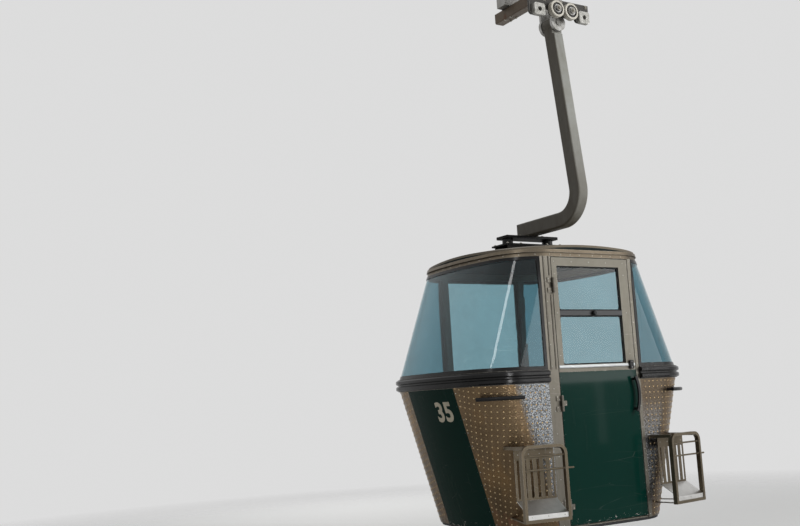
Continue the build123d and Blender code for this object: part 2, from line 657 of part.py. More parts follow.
def grip():
    """Cross beam with the fork that carries the hanger, and the fixed jaw on the beam."""
    inner = EYE_WIDTH / 2 + CHEEK_GAP
    outer = inner + CHEEK_T
    beam = block(-BEAM_HALF, BEAM_HALF, ARM_TOP_Y - outer, BEAM_END_Y, BEAM_Z - BEAM_HALF,
                 BEAM_Z + BEAM_HALF)
    beam = fillet(beam.edges().filter_by(Axis.Y), BEAM_R)
    for y in (ARM_TOP_Y - outer, ARM_TOP_Y + inner):
        beam += rod((0, y, PIVOT_Z), (0, y + CHEEK_T, PIVOT_Z), CHEEK_R)
        beam += block(-CHEEK_HALF, CHEEK_HALF, y, y + CHEEK_T, PIVOT_Z, BEAM_Z)
    pin = rod((0, ARM_TOP_Y - outer - PIN_PROUD, PIVOT_Z), (0, ARM_TOP_Y + outer + PIN_PROUD, PIVOT_Z),
              PIVOT_PIN_R)
    put("grip_beam", beam - pin)
    put("grip_pins", pin)
    half, depth = JAW_LENGTH / 2, ROPE_R + JAW_WALL
    jaw = block(-half, half, -depth, depth, 0, JAW_SEAT)
    jaw += block(-BOSS_WIDTH / 2, BOSS_WIDTH / 2, depth - BOSS_ROOT, JAW_PIVOT_Y,
                 JAW_PIVOT_Z - BOSS_R, JAW_PIVOT_Z + BOSS_R)
    jaw += jaw_rod(BOSS_WIDTH, BOSS_R)
    jaw -= rod((-SPAN, 0, 0), (SPAN, 0, 0), ROPE_R)
    put_turned("fixed_jaw", jaw - jaw_rod(2 * BOSS_WIDTH, JAW_PIN_R))


def put_turned(name, shape):
    """Store a piece of the clamp, which is drawn under the beam and turned over onto it."""
    put(name, Rot(180, 0, 0) * shape)


def jaw_rod(length, radius, y=JAW_PIVOT_Y):
    """Bar along the rope at the jaw pivot's height, centred over the rope's middle."""
    return rod((-length / 2, y, JAW_PIVOT_Z), (length / 2, y, JAW_PIVOT_Z), radius)


def moving_jaw():
    """Moving jaw between two ears on a pin, with the lever, its roller and the plunger."""
    half, depth = JAW_LENGTH / 2, ROPE_R + JAW_WALL
    boss = BOSS_WIDTH / 2 + EAR_GAP
    ear = boss + EAR_T
    clear = BOSS_R + JAW_GAP
    body = block(-half, half, -depth, depth, -depth, -JAW_GAP)
    body += block(-ear, ear, 0, JAW_PIVOT_Y + BOSS_R, -depth, -JAW_GAP)
    body -= block(-boss, boss, JAW_PIVOT_Y - clear, SPAN, JAW_PIVOT_Z - clear, SPAN)
    body -= block(-boss, boss, depth - BOSS_ROOT - 2 * JAW_GAP, SPAN, JAW_PIVOT_Z - clear, SPAN)
    roller_y = LEVER_END_Y + ROLLER_GAP + ROLLER_R
    low, high = JAW_PIVOT_Z - LEVER_HALF, JAW_PIVOT_Z + LEVER_HALF
    for x in (-ear, boss):
        body += block(x, x + EAR_T, JAW_PIVOT_Y - BOSS_R, JAW_PIVOT_Y + BOSS_R, -depth, JAW_PIVOT_Z)
        for y, radius in ((JAW_PIVOT_Y, BOSS_R), (roller_y, LEVER_HALF)):
            body += rod((x, y, JAW_PIVOT_Z), (x + EAR_T, y, JAW_PIVOT_Z), radius)
        body += block(x, x + EAR_T, JAW_PIVOT_Y, roller_y, low, high)
    body += block(-ear, ear, LEVER_END_Y - LEVER_WEB, LEVER_END_Y, low, high)
    pot_mouth = JAW_SEAT - POT_HEIGHT
    body += rod((0, PLUNGER_Y, JAW_PIVOT_Z), (0, PLUNGER_Y, pot_mouth + PLUNGER_REACH), PLUNGER_R)
    body += jaw_rod(2 * ear, ROLLER_PIN_R, roller_y)
    body -= rod((-SPAN, 0, 0), (SPAN, 0, 0), ROPE_R)
    put_turned("moving_jaw", body - jaw_rod(2 * SPAN, JAW_PIN_R + PIN_GAP))
    put_turned("grip_pins", jaw_rod(2 * (ear + PIN_PROUD), JAW_PIN_R))
    roller = jaw_rod(2 * (boss - ROLLER_GAP), ROLLER_R, roller_y)
    put_turned("lever_roller", roller - jaw_rod(2 * ear, ROLLER_PIN_R + PIN_GAP, roller_y))
    pot = rod((0, POT_Y, pot_mouth), (0, POT_Y, JAW_SEAT), POT_R)
    put_turned("spring_pot", pot - rod((0, POT_Y, 0), (0, POT_Y, JAW_SEAT - POT_FLOOR), POT_R - POT_WALL))


def running_gear():
    """Carrier plate with a bored lug at each end, two stub axles and their wheels."""
    back = ARM_TOP_Y - EYE_WIDTH / 2 - CHEEK_GAP - CHEEK_T
    face = back - CARRIER_T
    tip = WHEEL_Y - WHEEL_T / 2 - HUB_PROUD - WHEEL_END_GAP - COLLAR_T
    low, high = CARRIER_Z
    carrier = block(-CARRIER_HALF, CARRIER_HALF, face, back, low, high)
    for sign, end in ((-1, "rear"), (1, "front")):
        x = sign * WHEEL_X
        carrier += block(x - CARRIER_LEG, x + CARRIER_LEG, face, back, WHEEL_Z, high)
        carrier += rod((x, face, WHEEL_Z), (x, back, WHEEL_Z), CARRIER_LEG)
        x0, x1 = sorted((sign * HORN_X, sign * CARRIER_HALF))
        horn = block(x0, x1, face, back, HORN_FOOT_Z, high)
        carrier += fillet(horn.edges().filter_by(Axis.Y), HORN_R)
        x0, x1 = sorted(sign * edge for edge in LUG_X)
        lug = block(x0, x1, face - LUG_OUT, face, *LUG_Z)
        middle = (x0 + x1) / 2, sum(LUG_Z) / 2
        lug = fillet(lug.edges().filter_by(Axis.Y), LUG_EDGE)
        carrier += lug - rod((middle[0], face - LUG_OUT, middle[1]), (middle[0], face, middle[1]), LUG_BORE)
        axle = rod((x, tip, WHEEL_Z), (x, face, WHEEL_Z), AXLE_R)
        for y in (tip, face - COLLAR_T):
            axle += rod((x, y, WHEEL_Z), (x, y + COLLAR_T, WHEEL_Z), AXLE_R + COLLAR)
        put("wheel_axles", axle)
        put(f"{end}_running_wheel", running_wheel(x))
    put("wheel_carrier", carrier)


def running_wheel(x):
    """Wheel with a flat tread, a thinner web and a hub."""
    half, web, hub = WHEEL_T / 2, WHEEL_T / 4, WHEEL_T / 2 + HUB_PROUD
    bore, edge = AXLE_R + PIN_GAP, WHEEL_EDGE
    boss, rim = bore + HUB_WALL, WHEEL_R - RIM_WALL
    near = [(bore, -hub), (boss, -hub), (boss + edge, -web), (rim, -web), (rim + edge, -half),
            (WHEEL_R - edge, -half), (WHEEL_R, -half + edge)]
    points = near + [(radius, -y) for radius, y in reversed(near)]
    face = make_face(Polyline([(radius, y, 0) for radius, y in points], close=True).edges())
    return Pos(x, WHEEL_Y, WHEEL_Z) * revolve(face, Axis.Y, 360)


def main():
    for build in (lower_panels, belt, windows, door_posts, roof, floor, seats, door, racks,
                  grab_handles, hanger, grip, moving_jaw, running_gear):
        build()
    post_half, door_half = hinges()
    for name, solids in (("post_hinges", post_half), ("door_hinges", door_half)):
        for solid in solids:
            add(name, solid)
    os.makedirs("parts", exist_ok=True)
    for name, solids in parts.items():
        shape = solids[0] if len(solids) == 1 else Compound(children=solids)
        export_step(shape, f"parts/{name}.step")


main()
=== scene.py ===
# %% [markdown]
# # Cable car cabin with its hanger and grip
# The cabin is an aluminium body on four corner panels of embossed sheet, with wrap-round acrylic
# windows, a hinged door and two ski racks. The shapes and the joints come from the CAD model, which
# loads here as a fixed frame. This script gives every part its finish and adds the small things that
# a press, a riveter and a seat maker would add. All numbers are metres in the CAD model's own frame:
# X runs along the cabin, the door faces -Y, Z is up and the origin lies between the closed jaws.

import json
from math import asin, atan, cos, exp, pi, radians, sin, sqrt

import bmesh
import bpy
from mathutils import Matrix, Vector


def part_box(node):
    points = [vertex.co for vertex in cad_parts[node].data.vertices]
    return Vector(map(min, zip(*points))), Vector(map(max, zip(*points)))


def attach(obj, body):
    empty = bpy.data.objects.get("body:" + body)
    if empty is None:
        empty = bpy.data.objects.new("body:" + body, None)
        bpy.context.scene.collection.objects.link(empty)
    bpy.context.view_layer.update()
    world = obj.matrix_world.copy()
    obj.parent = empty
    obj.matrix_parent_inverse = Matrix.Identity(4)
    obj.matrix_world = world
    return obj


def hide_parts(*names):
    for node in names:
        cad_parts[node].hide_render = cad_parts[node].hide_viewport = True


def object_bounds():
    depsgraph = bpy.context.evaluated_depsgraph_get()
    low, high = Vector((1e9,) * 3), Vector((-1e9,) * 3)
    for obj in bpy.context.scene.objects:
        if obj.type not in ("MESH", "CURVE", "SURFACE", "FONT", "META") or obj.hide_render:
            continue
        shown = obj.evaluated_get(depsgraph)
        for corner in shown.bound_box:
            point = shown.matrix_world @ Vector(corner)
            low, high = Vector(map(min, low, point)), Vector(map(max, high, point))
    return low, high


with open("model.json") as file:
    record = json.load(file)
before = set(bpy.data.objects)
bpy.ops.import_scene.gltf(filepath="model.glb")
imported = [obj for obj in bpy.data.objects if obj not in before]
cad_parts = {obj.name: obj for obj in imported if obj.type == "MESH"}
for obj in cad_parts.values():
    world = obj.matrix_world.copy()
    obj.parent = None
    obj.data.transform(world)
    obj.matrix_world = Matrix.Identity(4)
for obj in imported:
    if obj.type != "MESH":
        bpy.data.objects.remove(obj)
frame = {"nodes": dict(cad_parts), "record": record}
nodes, record = frame["nodes"], frame["record"]
cad_low, cad_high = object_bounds()
scene = bpy.context.scene
scene.view_settings.view_transform = "Standard"
print("nodes", len(nodes), "box", [round(v, 3) for v in cad_high - cad_low])

# %% [markdown]
# ## Camera
# The photograph was taken from the door side, low down and close to the rear corner, looking slightly
# up. A camera is an empty with a lens: its place and its three axes say everything about the view, so
# the axes measured from the photograph go straight into its matrix.

# %% Heights of the body
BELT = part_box("belt_rail")[0].z + 0.060        # belt line of the cabin
WALL_TOP, WALL_FOOT = BELT - 0.060, BELT - 1.015
RIM_FOOT = BELT + 0.800
print("belt line at", round(BELT, 3))

# %% Camera
VIEW_PLACE = Vector((-4.728, -5.839, BELT - 0.146))
VIEW_RIGHT = Vector((0.85498, -0.51569, -0.05541))
VIEW_UP = Vector((-0.02569, -0.14881, 0.98853))
VIEW_BACK = VIEW_RIGHT.cross(VIEW_UP)
VIEW_LENS = 44.77          # millimetres on a 36 mm sensor

camera = bpy.data.objects.new("camera", bpy.data.cameras.new("camera"))
scene.collection.objects.link(camera)
camera.matrix_world = Matrix.Translation(VIEW_PLACE) @ Matrix(
    (VIEW_RIGHT, VIEW_UP, VIEW_BACK)).transposed().to_4x4()
camera.data.lens, camera.data.sensor_width, camera.data.clip_end = VIEW_LENS, 36, 200
scene.camera = camera
print("camera looks along", [round(v, 3) for v in -VIEW_BACK])

# %% [markdown]
# ## Building nodes in few words
# Materials and geometry trees are both node trees, and what runs through their links is a number, a
# vector or a shape. A `Flow` stands for one such output. `wire` adds a node and gives back its flow,
# `[name]` picks another output of the same node, and plain arithmetic on a flow adds Math nodes, so
# that a tree reads like a formula.


# %% Flows
class Flow:
    """One output of a node; the arithmetic of numbers works on it too."""

    def __init__(self, tree, node, output=0):
        self.tree, self.node, self.socket = tree, node, node.outputs[output]

    def __getitem__(self, output):
        return Flow(self.tree, self.node, output)

    def maths(self, operation, *others):
        """One Math node that starts from this flow."""
        return wire(self.tree, "ShaderNodeMath", enumerate((self, *others)), operation=operation)

    def __add__(self, other):
        return self.maths("ADD", other)

    def __sub__(self, other):
        return self.maths("SUBTRACT", other)

    def __rsub__(self, other):
        return wire(self.tree, "ShaderNodeMath", {0: other, 1: self}, operation="SUBTRACT")

    def __mul__(self, other):
        return self.maths("MULTIPLY", other)

    def __gt__(self, other):
        return self.maths("GREATER_THAN", other)

    def __lt__(self, other):
        return self.maths("LESS_THAN", other)

    def at_least(self, other):
        """The larger of two flows."""
        return self.maths("MAXIMUM", other)

    def near(self, middle, reach):
        """One where the flow is within reach of a value, else nothing."""
        return self.maths("COMPARE", middle, reach)

    def clamped(self):
        """The same flow, held between nothing and one."""
        self.node.use_clamp = True
        return self


# %% Node helpers
def fill(tree, node, sockets):
    """Fill or connect inputs of a node."""
    for socket, value in dict(sockets).items():
        if isinstance(value, Flow):
            tree.links.new(value.socket, node.inputs[socket])
        else:
            node.inputs[socket].default_value = value


def wire(tree, kind, sockets=(), **options):
    """Add a node, set its options and fill its inputs; returns its first output."""
    node = tree.nodes.new(kind)
    for option, value in options.items():
        setattr(node, option, value)
    fill(tree, node, sockets)
    return Flow(tree, node)


def mixed(tree, share, first, second):
    """Mix two colours by a share; plain ones get an alpha of one."""
    first, second = (c if isinstance(c, Flow) else (*c[:3], 1.0) for c in (first, second))
    return wire(tree, "ShaderNodeMix", {0: share, 6: first, 7: second}, data_type="RGBA")[2]


def remapped(tree, value, low, high, to_low=0.0, to_high=1.0):
    """Stretch a value from one range to another, clamped."""
    return wire(tree, "ShaderNodeMapRange", {0: value, 1: low, 2: high, 3: to_low, 4: to_high})


def vectors(tree, operation, *values):
    """One Vector Math node."""
    return wire(tree, "ShaderNodeVectorMath", enumerate(values), operation=operation)


def stretched(tree, *along):
    """Object coordinates scaled on each axis; a small factor draws a pattern out along that axis."""
    return vectors(tree, "MULTIPLY", wire(tree, "ShaderNodeTexCoord")["Object"], along or (1, 1, 1))


def split(tree, vector=None):
    """X, Y and Z of a vector, or of the object coordinates."""
    return wire(tree, "ShaderNodeSeparateXYZ", {0: vector or stretched(tree)})


def noise(tree, scale, detail=3.0, roughness=0.55, along=(1, 1, 1)):
    """Grey noise in the object coordinates, drawn out along an axis if asked."""
    return wire(tree, "ShaderNodeTexNoise", {
        "Vector": stretched(tree, *along), "Scale": scale, "Detail": detail, "Roughness": roughness})["Fac"]


def shared_effect(title, inputs, outputs=("Mask",)):
    """Empty shader group with its sockets: the tree, its inputs and its output node."""
    tree = bpy.data.node_groups.new(title, "ShaderNodeTree")
    for name, default in inputs:
        socket = tree.interface.new_socket(name, in_out="INPUT", socket_type="NodeSocketFloat")
        socket.default_value = default
    for name in outputs:
        tree.interface.new_socket(name, in_out="OUTPUT", socket_type="NodeSocketFloat")
    return tree, Flow(tree, tree.nodes.new("NodeGroupInput")), tree.nodes.new("NodeGroupOutput")


# %% [markdown]
# ## Effects that many finishes share
# Old paint and old metal look alike in one way: their colour drifts slowly from place to place, dirt
# runs down them, edges are rubbed bare and long use leaves scratches, and painted shade darkens the
# corners. Each of these is one node group that gives out a mask or a height. Every material then sets its own
# amounts.


# %% Slow drift of colour
def make_drift():
    """Large soft patches with finer ones inside them."""
    tree, given, out = shared_effect("slow_drift", [("Scale", 3.0), ("Contrast", 0.3)])
    large = noise(tree, given["Scale"])
    fine = noise(tree, given["Scale"] * 9.0, 4.0, 0.6)
    both = fine * 0.35 + large * 0.65
    fill(tree, out, {"Mask": ((both - 0.5) * (given["Contrast"] * 4.0) + 0.5).clamped()})
    return tree


# %% Rubbed edges
def make_edge_wear():
    """A Bevel normal differs from the true one only near an edge; noise breaks the line up."""
    tree, given, out = shared_effect("rubbed_edges", [("Radius", 0.004), ("Amount", 0.5), ("Scale", 60.0)])
    rounded = wire(tree, "ShaderNodeBevel", {"Radius": given["Radius"]}, samples=4)
    flat = wire(tree, "ShaderNodeNewGeometry")["Normal"]
    agree = vectors(tree, "DOT_PRODUCT", rounded, flat)["Value"]
    broken = noise(tree, given["Scale"], 4.0, 0.65)
    untouched = 1.0 - given["Amount"]
    kept = broken > untouched * 0.4 + 0.28
    soft = remapped(tree, broken, untouched * 0.4 + 0.24, 0.72)
    mask = remapped(tree, agree, 0.995, 0.86) * soft.at_least(kept * 0.5)
    fill(tree, out, {"Mask": mask.clamped()})
    return tree


# %% Dirt that runs down, and painted shade in corners
def make_runs_and_corner_shade():
    """Dirt runs drawn out along Z, and painted shade in corners found by how much sky a point sees."""
    tree, given, out = shared_effect("runs_and_corner_shade", [("Runs", 0.5), ("Corners", 0.5), ("Scale", 14.0)])
    runs = remapped(tree, noise(tree, given["Scale"], 5.0, 0.6, (1, 1, 0.09)), 0.50, 0.74)
    patches = remapped(tree, noise(tree, 2.6), 0.36, 0.66)
    # Painted shade: darker where a point sees little sky, as in corners and recesses.
    sky = wire(tree, "ShaderNodeAmbientOcclusion", {"Distance": 0.05}, samples=4)["AO"]
    corner_shade = remapped(tree, sky, 0.86, 0.30) * remapped(tree, noise(tree, 45.0), 0.30, 0.60, 0.45, 1.0)
    total = corner_shade * given["Corners"] + runs * patches * given["Runs"]
    fill(tree, out, {"Mask": total.clamped()})
    return tree


# %% Scratches
def make_scratches():
    """Thin bright lines: the cracks of a stretched Voronoi pattern, kept only here and there."""
    tree, given, out = shared_effect("scratches", [("Scale", 30.0), ("Amount", 0.4)])

    def lines(along, wobble):
        place = stretched(tree, *along)
        bent = wire(tree, "ShaderNodeTexNoise", {"Vector": place, "Scale": wobble})["Color"]
        moved = vectors(tree, "MULTIPLY_ADD", bent, (0.3, 0.3, 0.3), place)
        crack = wire(tree, "ShaderNodeTexVoronoi", {"Vector": moved, "Scale": given["Scale"]},
                     feature="DISTANCE_TO_EDGE")["Distance"]
        kept = remapped(tree, noise(tree, 7.0, along=along), 0.55, 0.68)
        return remapped(tree, crack, 0.012, 0.0) * kept

    total = lines((1.0, 1.0, 0.07), 0.5).at_least(lines((0.09, 0.6, 1.0), 1.7))
    fill(tree, out, {"Mask": (total * given["Amount"]).clamped()})
    return tree


# %% Surface grains
def make_grain():
    """Three heights to choose from: drawn metal, cast skin and the fine stucco of rolled sheet."""
    tree, given, out = shared_effect("surface_grain", [("Scale", 1.0)], ("Drawn", "Cast", "Stucco"))
    cells = wire(tree, "ShaderNodeTexVoronoi", {
        "Vector": stretched(tree), "Scale": given["Scale"] * 150.0, "Randomness": 0.85},
        feature="SMOOTH_F1")["Distance"]
    fill(tree, out, {"Drawn": noise(tree, given["Scale"] * 420.0, 2.0, along=(1, 1, 0.02)),
                     "Cast": noise(tree, given["Scale"] * 260.0, 4.0, 0.7),
                     "Stucco": remapped(tree, cells, 0.75, 0.15)})
    return tree


effects = {"drift": make_drift(), "wear": make_edge_wear(), "runs_and_corner_shade": make_runs_and_corner_shade(),
           "scratches": make_scratches(), "grain": make_grain()}
print("shared effects:", ", ".join(tree.name for tree in effects.values()))

# %% [markdown]
# ## A finish from its layers
# A finish is laid on as a painter would: the coat with its drift, dirt runs and painted shade in the
# corners over it, then scratches and bare edges where the coat is gone, and rust last. One function
# stacks the layers in that order, and each finish of the cabin is a row of amounts. The shader's own
# sockets hold what is the same all over, such as the clear coat's gloss.


# %% Finish builder
def effect(tree, name, **amounts):
    """Place a shared effect in a material and set its amounts."""
    group = tree.nodes.new("ShaderNodeGroup")
    group.node_tree = effects[name]
    fill(tree, group, amounts)
    return Flow(tree, group)


def new_material(name):
    """Empty material: itself, its tree and its shader."""
    material = bpy.data.materials.new(name)
    material.use_nodes = True
    return material, material.node_tree, material.node_tree.nodes["Principled BSDF"]


def shade_of(colour, factor):
    """The same colour, lighter or darker."""
    return tuple(min(1.0, channel * factor) for channel in colour[:3])


def finish(name, colour, rough, metal=0.0, drift=0.25, drift_scale=3.0, wear=0.0, bare=(0.45, 0.43, 0.40),
           bare_metal=1.0, edge=0.004, runs=0.3, corner_shade=0.6, runs_and_shade_tone=(0.05, 0.042, 0.032), scratch=0.0,
           scratch_scale=26.0, grain="Cast", grain_height=4e-5, grain_scale=1.0, rust=0.0, coat=0.0,
           coat_rough=0.08, specular=0.5, tint=None, extra=None):
    """Material of one finish. Colours are linear; extra(tree, look, gloss, shine, height) may change
    colour, roughness, metal and height at the end."""
    material, tree, shader = new_material(name)
    patches = effect(tree, "drift", Scale=drift_scale, Contrast=drift)["Mask"]
    look = mixed(tree, patches, tint or shade_of(colour, 0.72), shade_of(colour, 1.12))
    gloss = patches * -0.10 + (rough + 0.05)
    scuffs = effect(tree, "scratches", Scale=scratch_scale, Amount=scratch)["Mask"]
    look = mixed(tree, scuffs, look, shade_of(bare, 1.15))
    # Dirt runs, and painted shade in the corners, mix in the same dark tone.
    runs_and_shade_mask = effect(tree, "runs_and_corner_shade", Runs=runs, Corners=corner_shade)["Mask"]
    look = mixed(tree, runs_and_shade_mask * 0.8, look, runs_and_shade_tone)
    gloss = runs_and_shade_mask * 0.28 + gloss
    shine = scuffs * (bare_metal - metal) + metal
    if wear:
        rubbed = effect(tree, "wear", Radius=edge, Amount=wear)["Mask"]
        look = mixed(tree, rubbed, look, bare)
        shine = (rubbed * (bare_metal - metal) + shine).clamped()
    shine = (shine * remapped(tree, runs_and_shade_mask, 0.2, 1.0, 1.0, 0.25)).clamped()
    if rust:
        spots = noise(tree, 9.0, 6.0, 0.7, (1, 1, 0.5))
        rusty = remapped(tree, spots, 0.74 - 0.25 * rust, 0.80 - 0.1 * rust) * 0.9
        brown = mixed(tree, noise(tree, 70.0), (0.10, 0.03, 0.012), (0.26, 0.10, 0.04))
        look, gloss, shine = mixed(tree, rusty, look, brown), rusty * 0.4 + gloss, shine * (1.0 - rusty)
    height = effect(tree, "grain", Scale=grain_scale)[grain]
    if extra:
        look, gloss, shine, height = extra(tree, look, gloss, shine, height)
    bump = wire(tree, "ShaderNodeBump", {"Height": height, "Distance": grain_height * 10, "Strength": 0.6})
    fill(tree, shader, {"Base Color": look, "Roughness": (gloss + 0.0).clamped(), "Metallic": shine,
                        "Normal": bump, "Specular IOR Level": specular, "Coat Weight": coat,
                        "Coat Roughness": coat_rough})
    return material


# %% [markdown]
# ## The finishes of this cabin
# Deep green enamel over aluminium, bare embossed sheet in a dull warm brown that is partly a painted
# reflection, satin drawn trim, weathered grey hanger paint, greasy castings. Each gets its numbers here.
# Where a finish changes from one part of a piece to the next, an extra step reads the place and mixes
# the second look in.

# %% Step for the painted walls
CHIP_BAND = 0.10           # height of the chipped band over the foot of a wall


def chipped_foot(tree, look, gloss, shine, height):
    """Paint chipped to bare metal in the last few centimetres above the foot of the walls."""
    low = remapped(tree, split(tree)["Z"], WALL_FOOT + CHIP_BAND, WALL_FOOT)
    chips = noise(tree, 34.0, 5.0, 0.7, (1, 1, 1.6))
    mask = (chips > low * -0.20 + 0.78) * (low > 0.01)
    look = mixed(tree, mask, look, (0.42, 0.40, 0.37))
    return look, mask * 0.15 + gloss, shine.at_least(mask * 0.8), height - mask


# %% Step for the bare sheet
FLAT_FROM = (0.622, 0.6294)                # a corner goes over into the flat side between these Y


def rolled_sheet(tree, look, gloss, shine, height):
    """Painted reflection makes the flat sides silver with dark specks; rust stains lie low on the corners."""
    spot = split(tree)
    x, z = spot["X"], spot["Z"]
    flat = remapped(tree, spot["Y"].maths("ABSOLUTE"), *FLAT_FROM)
    specks = wire(tree, "ShaderNodeTexVoronoi", {
        "Vector": stretched(tree), "Scale": 96.0, "Randomness": 0.8})["Distance"]
    # Painted reflection: silver with dark specks on the flat sides, all over at the rear and high up at the
    # front.
    reflected_silver = mixed(tree, remapped(tree, specks, 0.25, 0.62), (0.34, 0.362, 0.380), (0.075, 0.08, 0.084))
    reflecting_part = remapped(tree, x, 0.0, -0.1).at_least(remapped(tree, z, BELT - 0.20, BELT - 0.50, 0.05, 0.9))
    # Painted shade: the front flat side is darkened to a dull brown.
    shaded_front = flat * remapped(tree, x, 0.0, 0.1, 0.0, 0.60)
    look = mixed(tree, shaded_front, look, (0.055, 0.046, 0.036))
    look = mixed(tree, flat * (reflecting_part * 0.92), look, reflected_silver)
    warm = remapped(tree, noise(tree, 6.0, 4.0, 0.6, (1, 1, 0.5)), 0.52, 0.74)
    look = mixed(tree, (warm * (0.6 - flat)).clamped(), look, (0.30, 0.180, 0.078))
    look = mixed(tree, remapped(tree, z, BELT - 0.30, WALL_FOOT, 0.0, 0.45), look, (0.040, 0.026, 0.014))
    low = remapped(tree, z, WALL_FOOT + 0.22, WALL_FOOT)
    stains = noise(tree, 13.0, 5.0, 0.65, (1, 1, 0.35))
    rusty = (remapped(tree, stains, 0.54, 0.68) * low.maths("POWER", 1.5)).clamped()
    corner = remapped(tree, x, 0.56, 0.70) * remapped(tree, z, WALL_FOOT + 0.12, WALL_FOOT)
    rusty = rusty.at_least(corner * remapped(tree, stains, 0.38, 0.56))
    look = mixed(tree, rusty * 0.85, look, (0.23, 0.085, 0.035))
    gloss = height * -0.12 + (rusty * 0.35 + gloss)
    return look, gloss, shine * (rusty * -0.85 + 1.0), height


# %% Steps for the roof, the door's frame and the hanger
CROWN_RADIUS, CROWN_TOP = 3.7, BELT + 0.942          # the roof's outer face is a part of this ball
MID_RAIL = (BELT + 0.410, 0.022)           # the door's middle rail: its middle and half its height
PANE_SPAN = (0.0105, 0.2865)               # the same across the panes


def shaded_roof_inside(tree, look, gloss, shine, height):
    """Painted shade on the roof's inner face, which its distance from the crown's centre tells apart."""
    from_centre = vectors(tree, "ADD", stretched(tree), (0, 0, CROWN_RADIUS - CROWN_TOP))
    inner = vectors(tree, "LENGTH", from_centre)["Value"] < CROWN_RADIUS - 0.016
    return mixed(tree, inner, look, (0.012, 0.017, 0.017)), inner * 0.4 + gloss, shine * (1.0 - inner), height


def dark_mid_rail(tree, look, gloss, shine, height):
    """The door's middle rail is a black section between the two panes."""
    spot = split(tree)
    black = spot["Z"].near(*MID_RAIL) * spot["X"].near(*PANE_SPAN)
    return mixed(tree, black, look, (0.010, 0.010, 0.011)), gloss, shine * (1.0 - black), height


def shaded_arm(tree, look, gloss, shine, height):
    """Painted shade in brown on the rear face of the hanger and over its foot."""
    facing = split(tree, wire(tree, "ShaderNodeTexCoord")["Normal"])["X"]
    rear_shade = remapped(tree, facing, -0.30, -0.75) * 0.80
    foot = remapped(tree, split(tree)["Z"], BELT + 1.85, BELT + 1.30) * 0.62
    patches = remapped(tree, noise(tree, 16.0, 4.0, along=(1, 1, 0.3)), 0.25, 0.65, 0.75, 1.0)
    mask = rear_shade.at_least(foot) * patches
    return mixed(tree, mask, look, (0.070, 0.058, 0.040)), gloss, shine, height


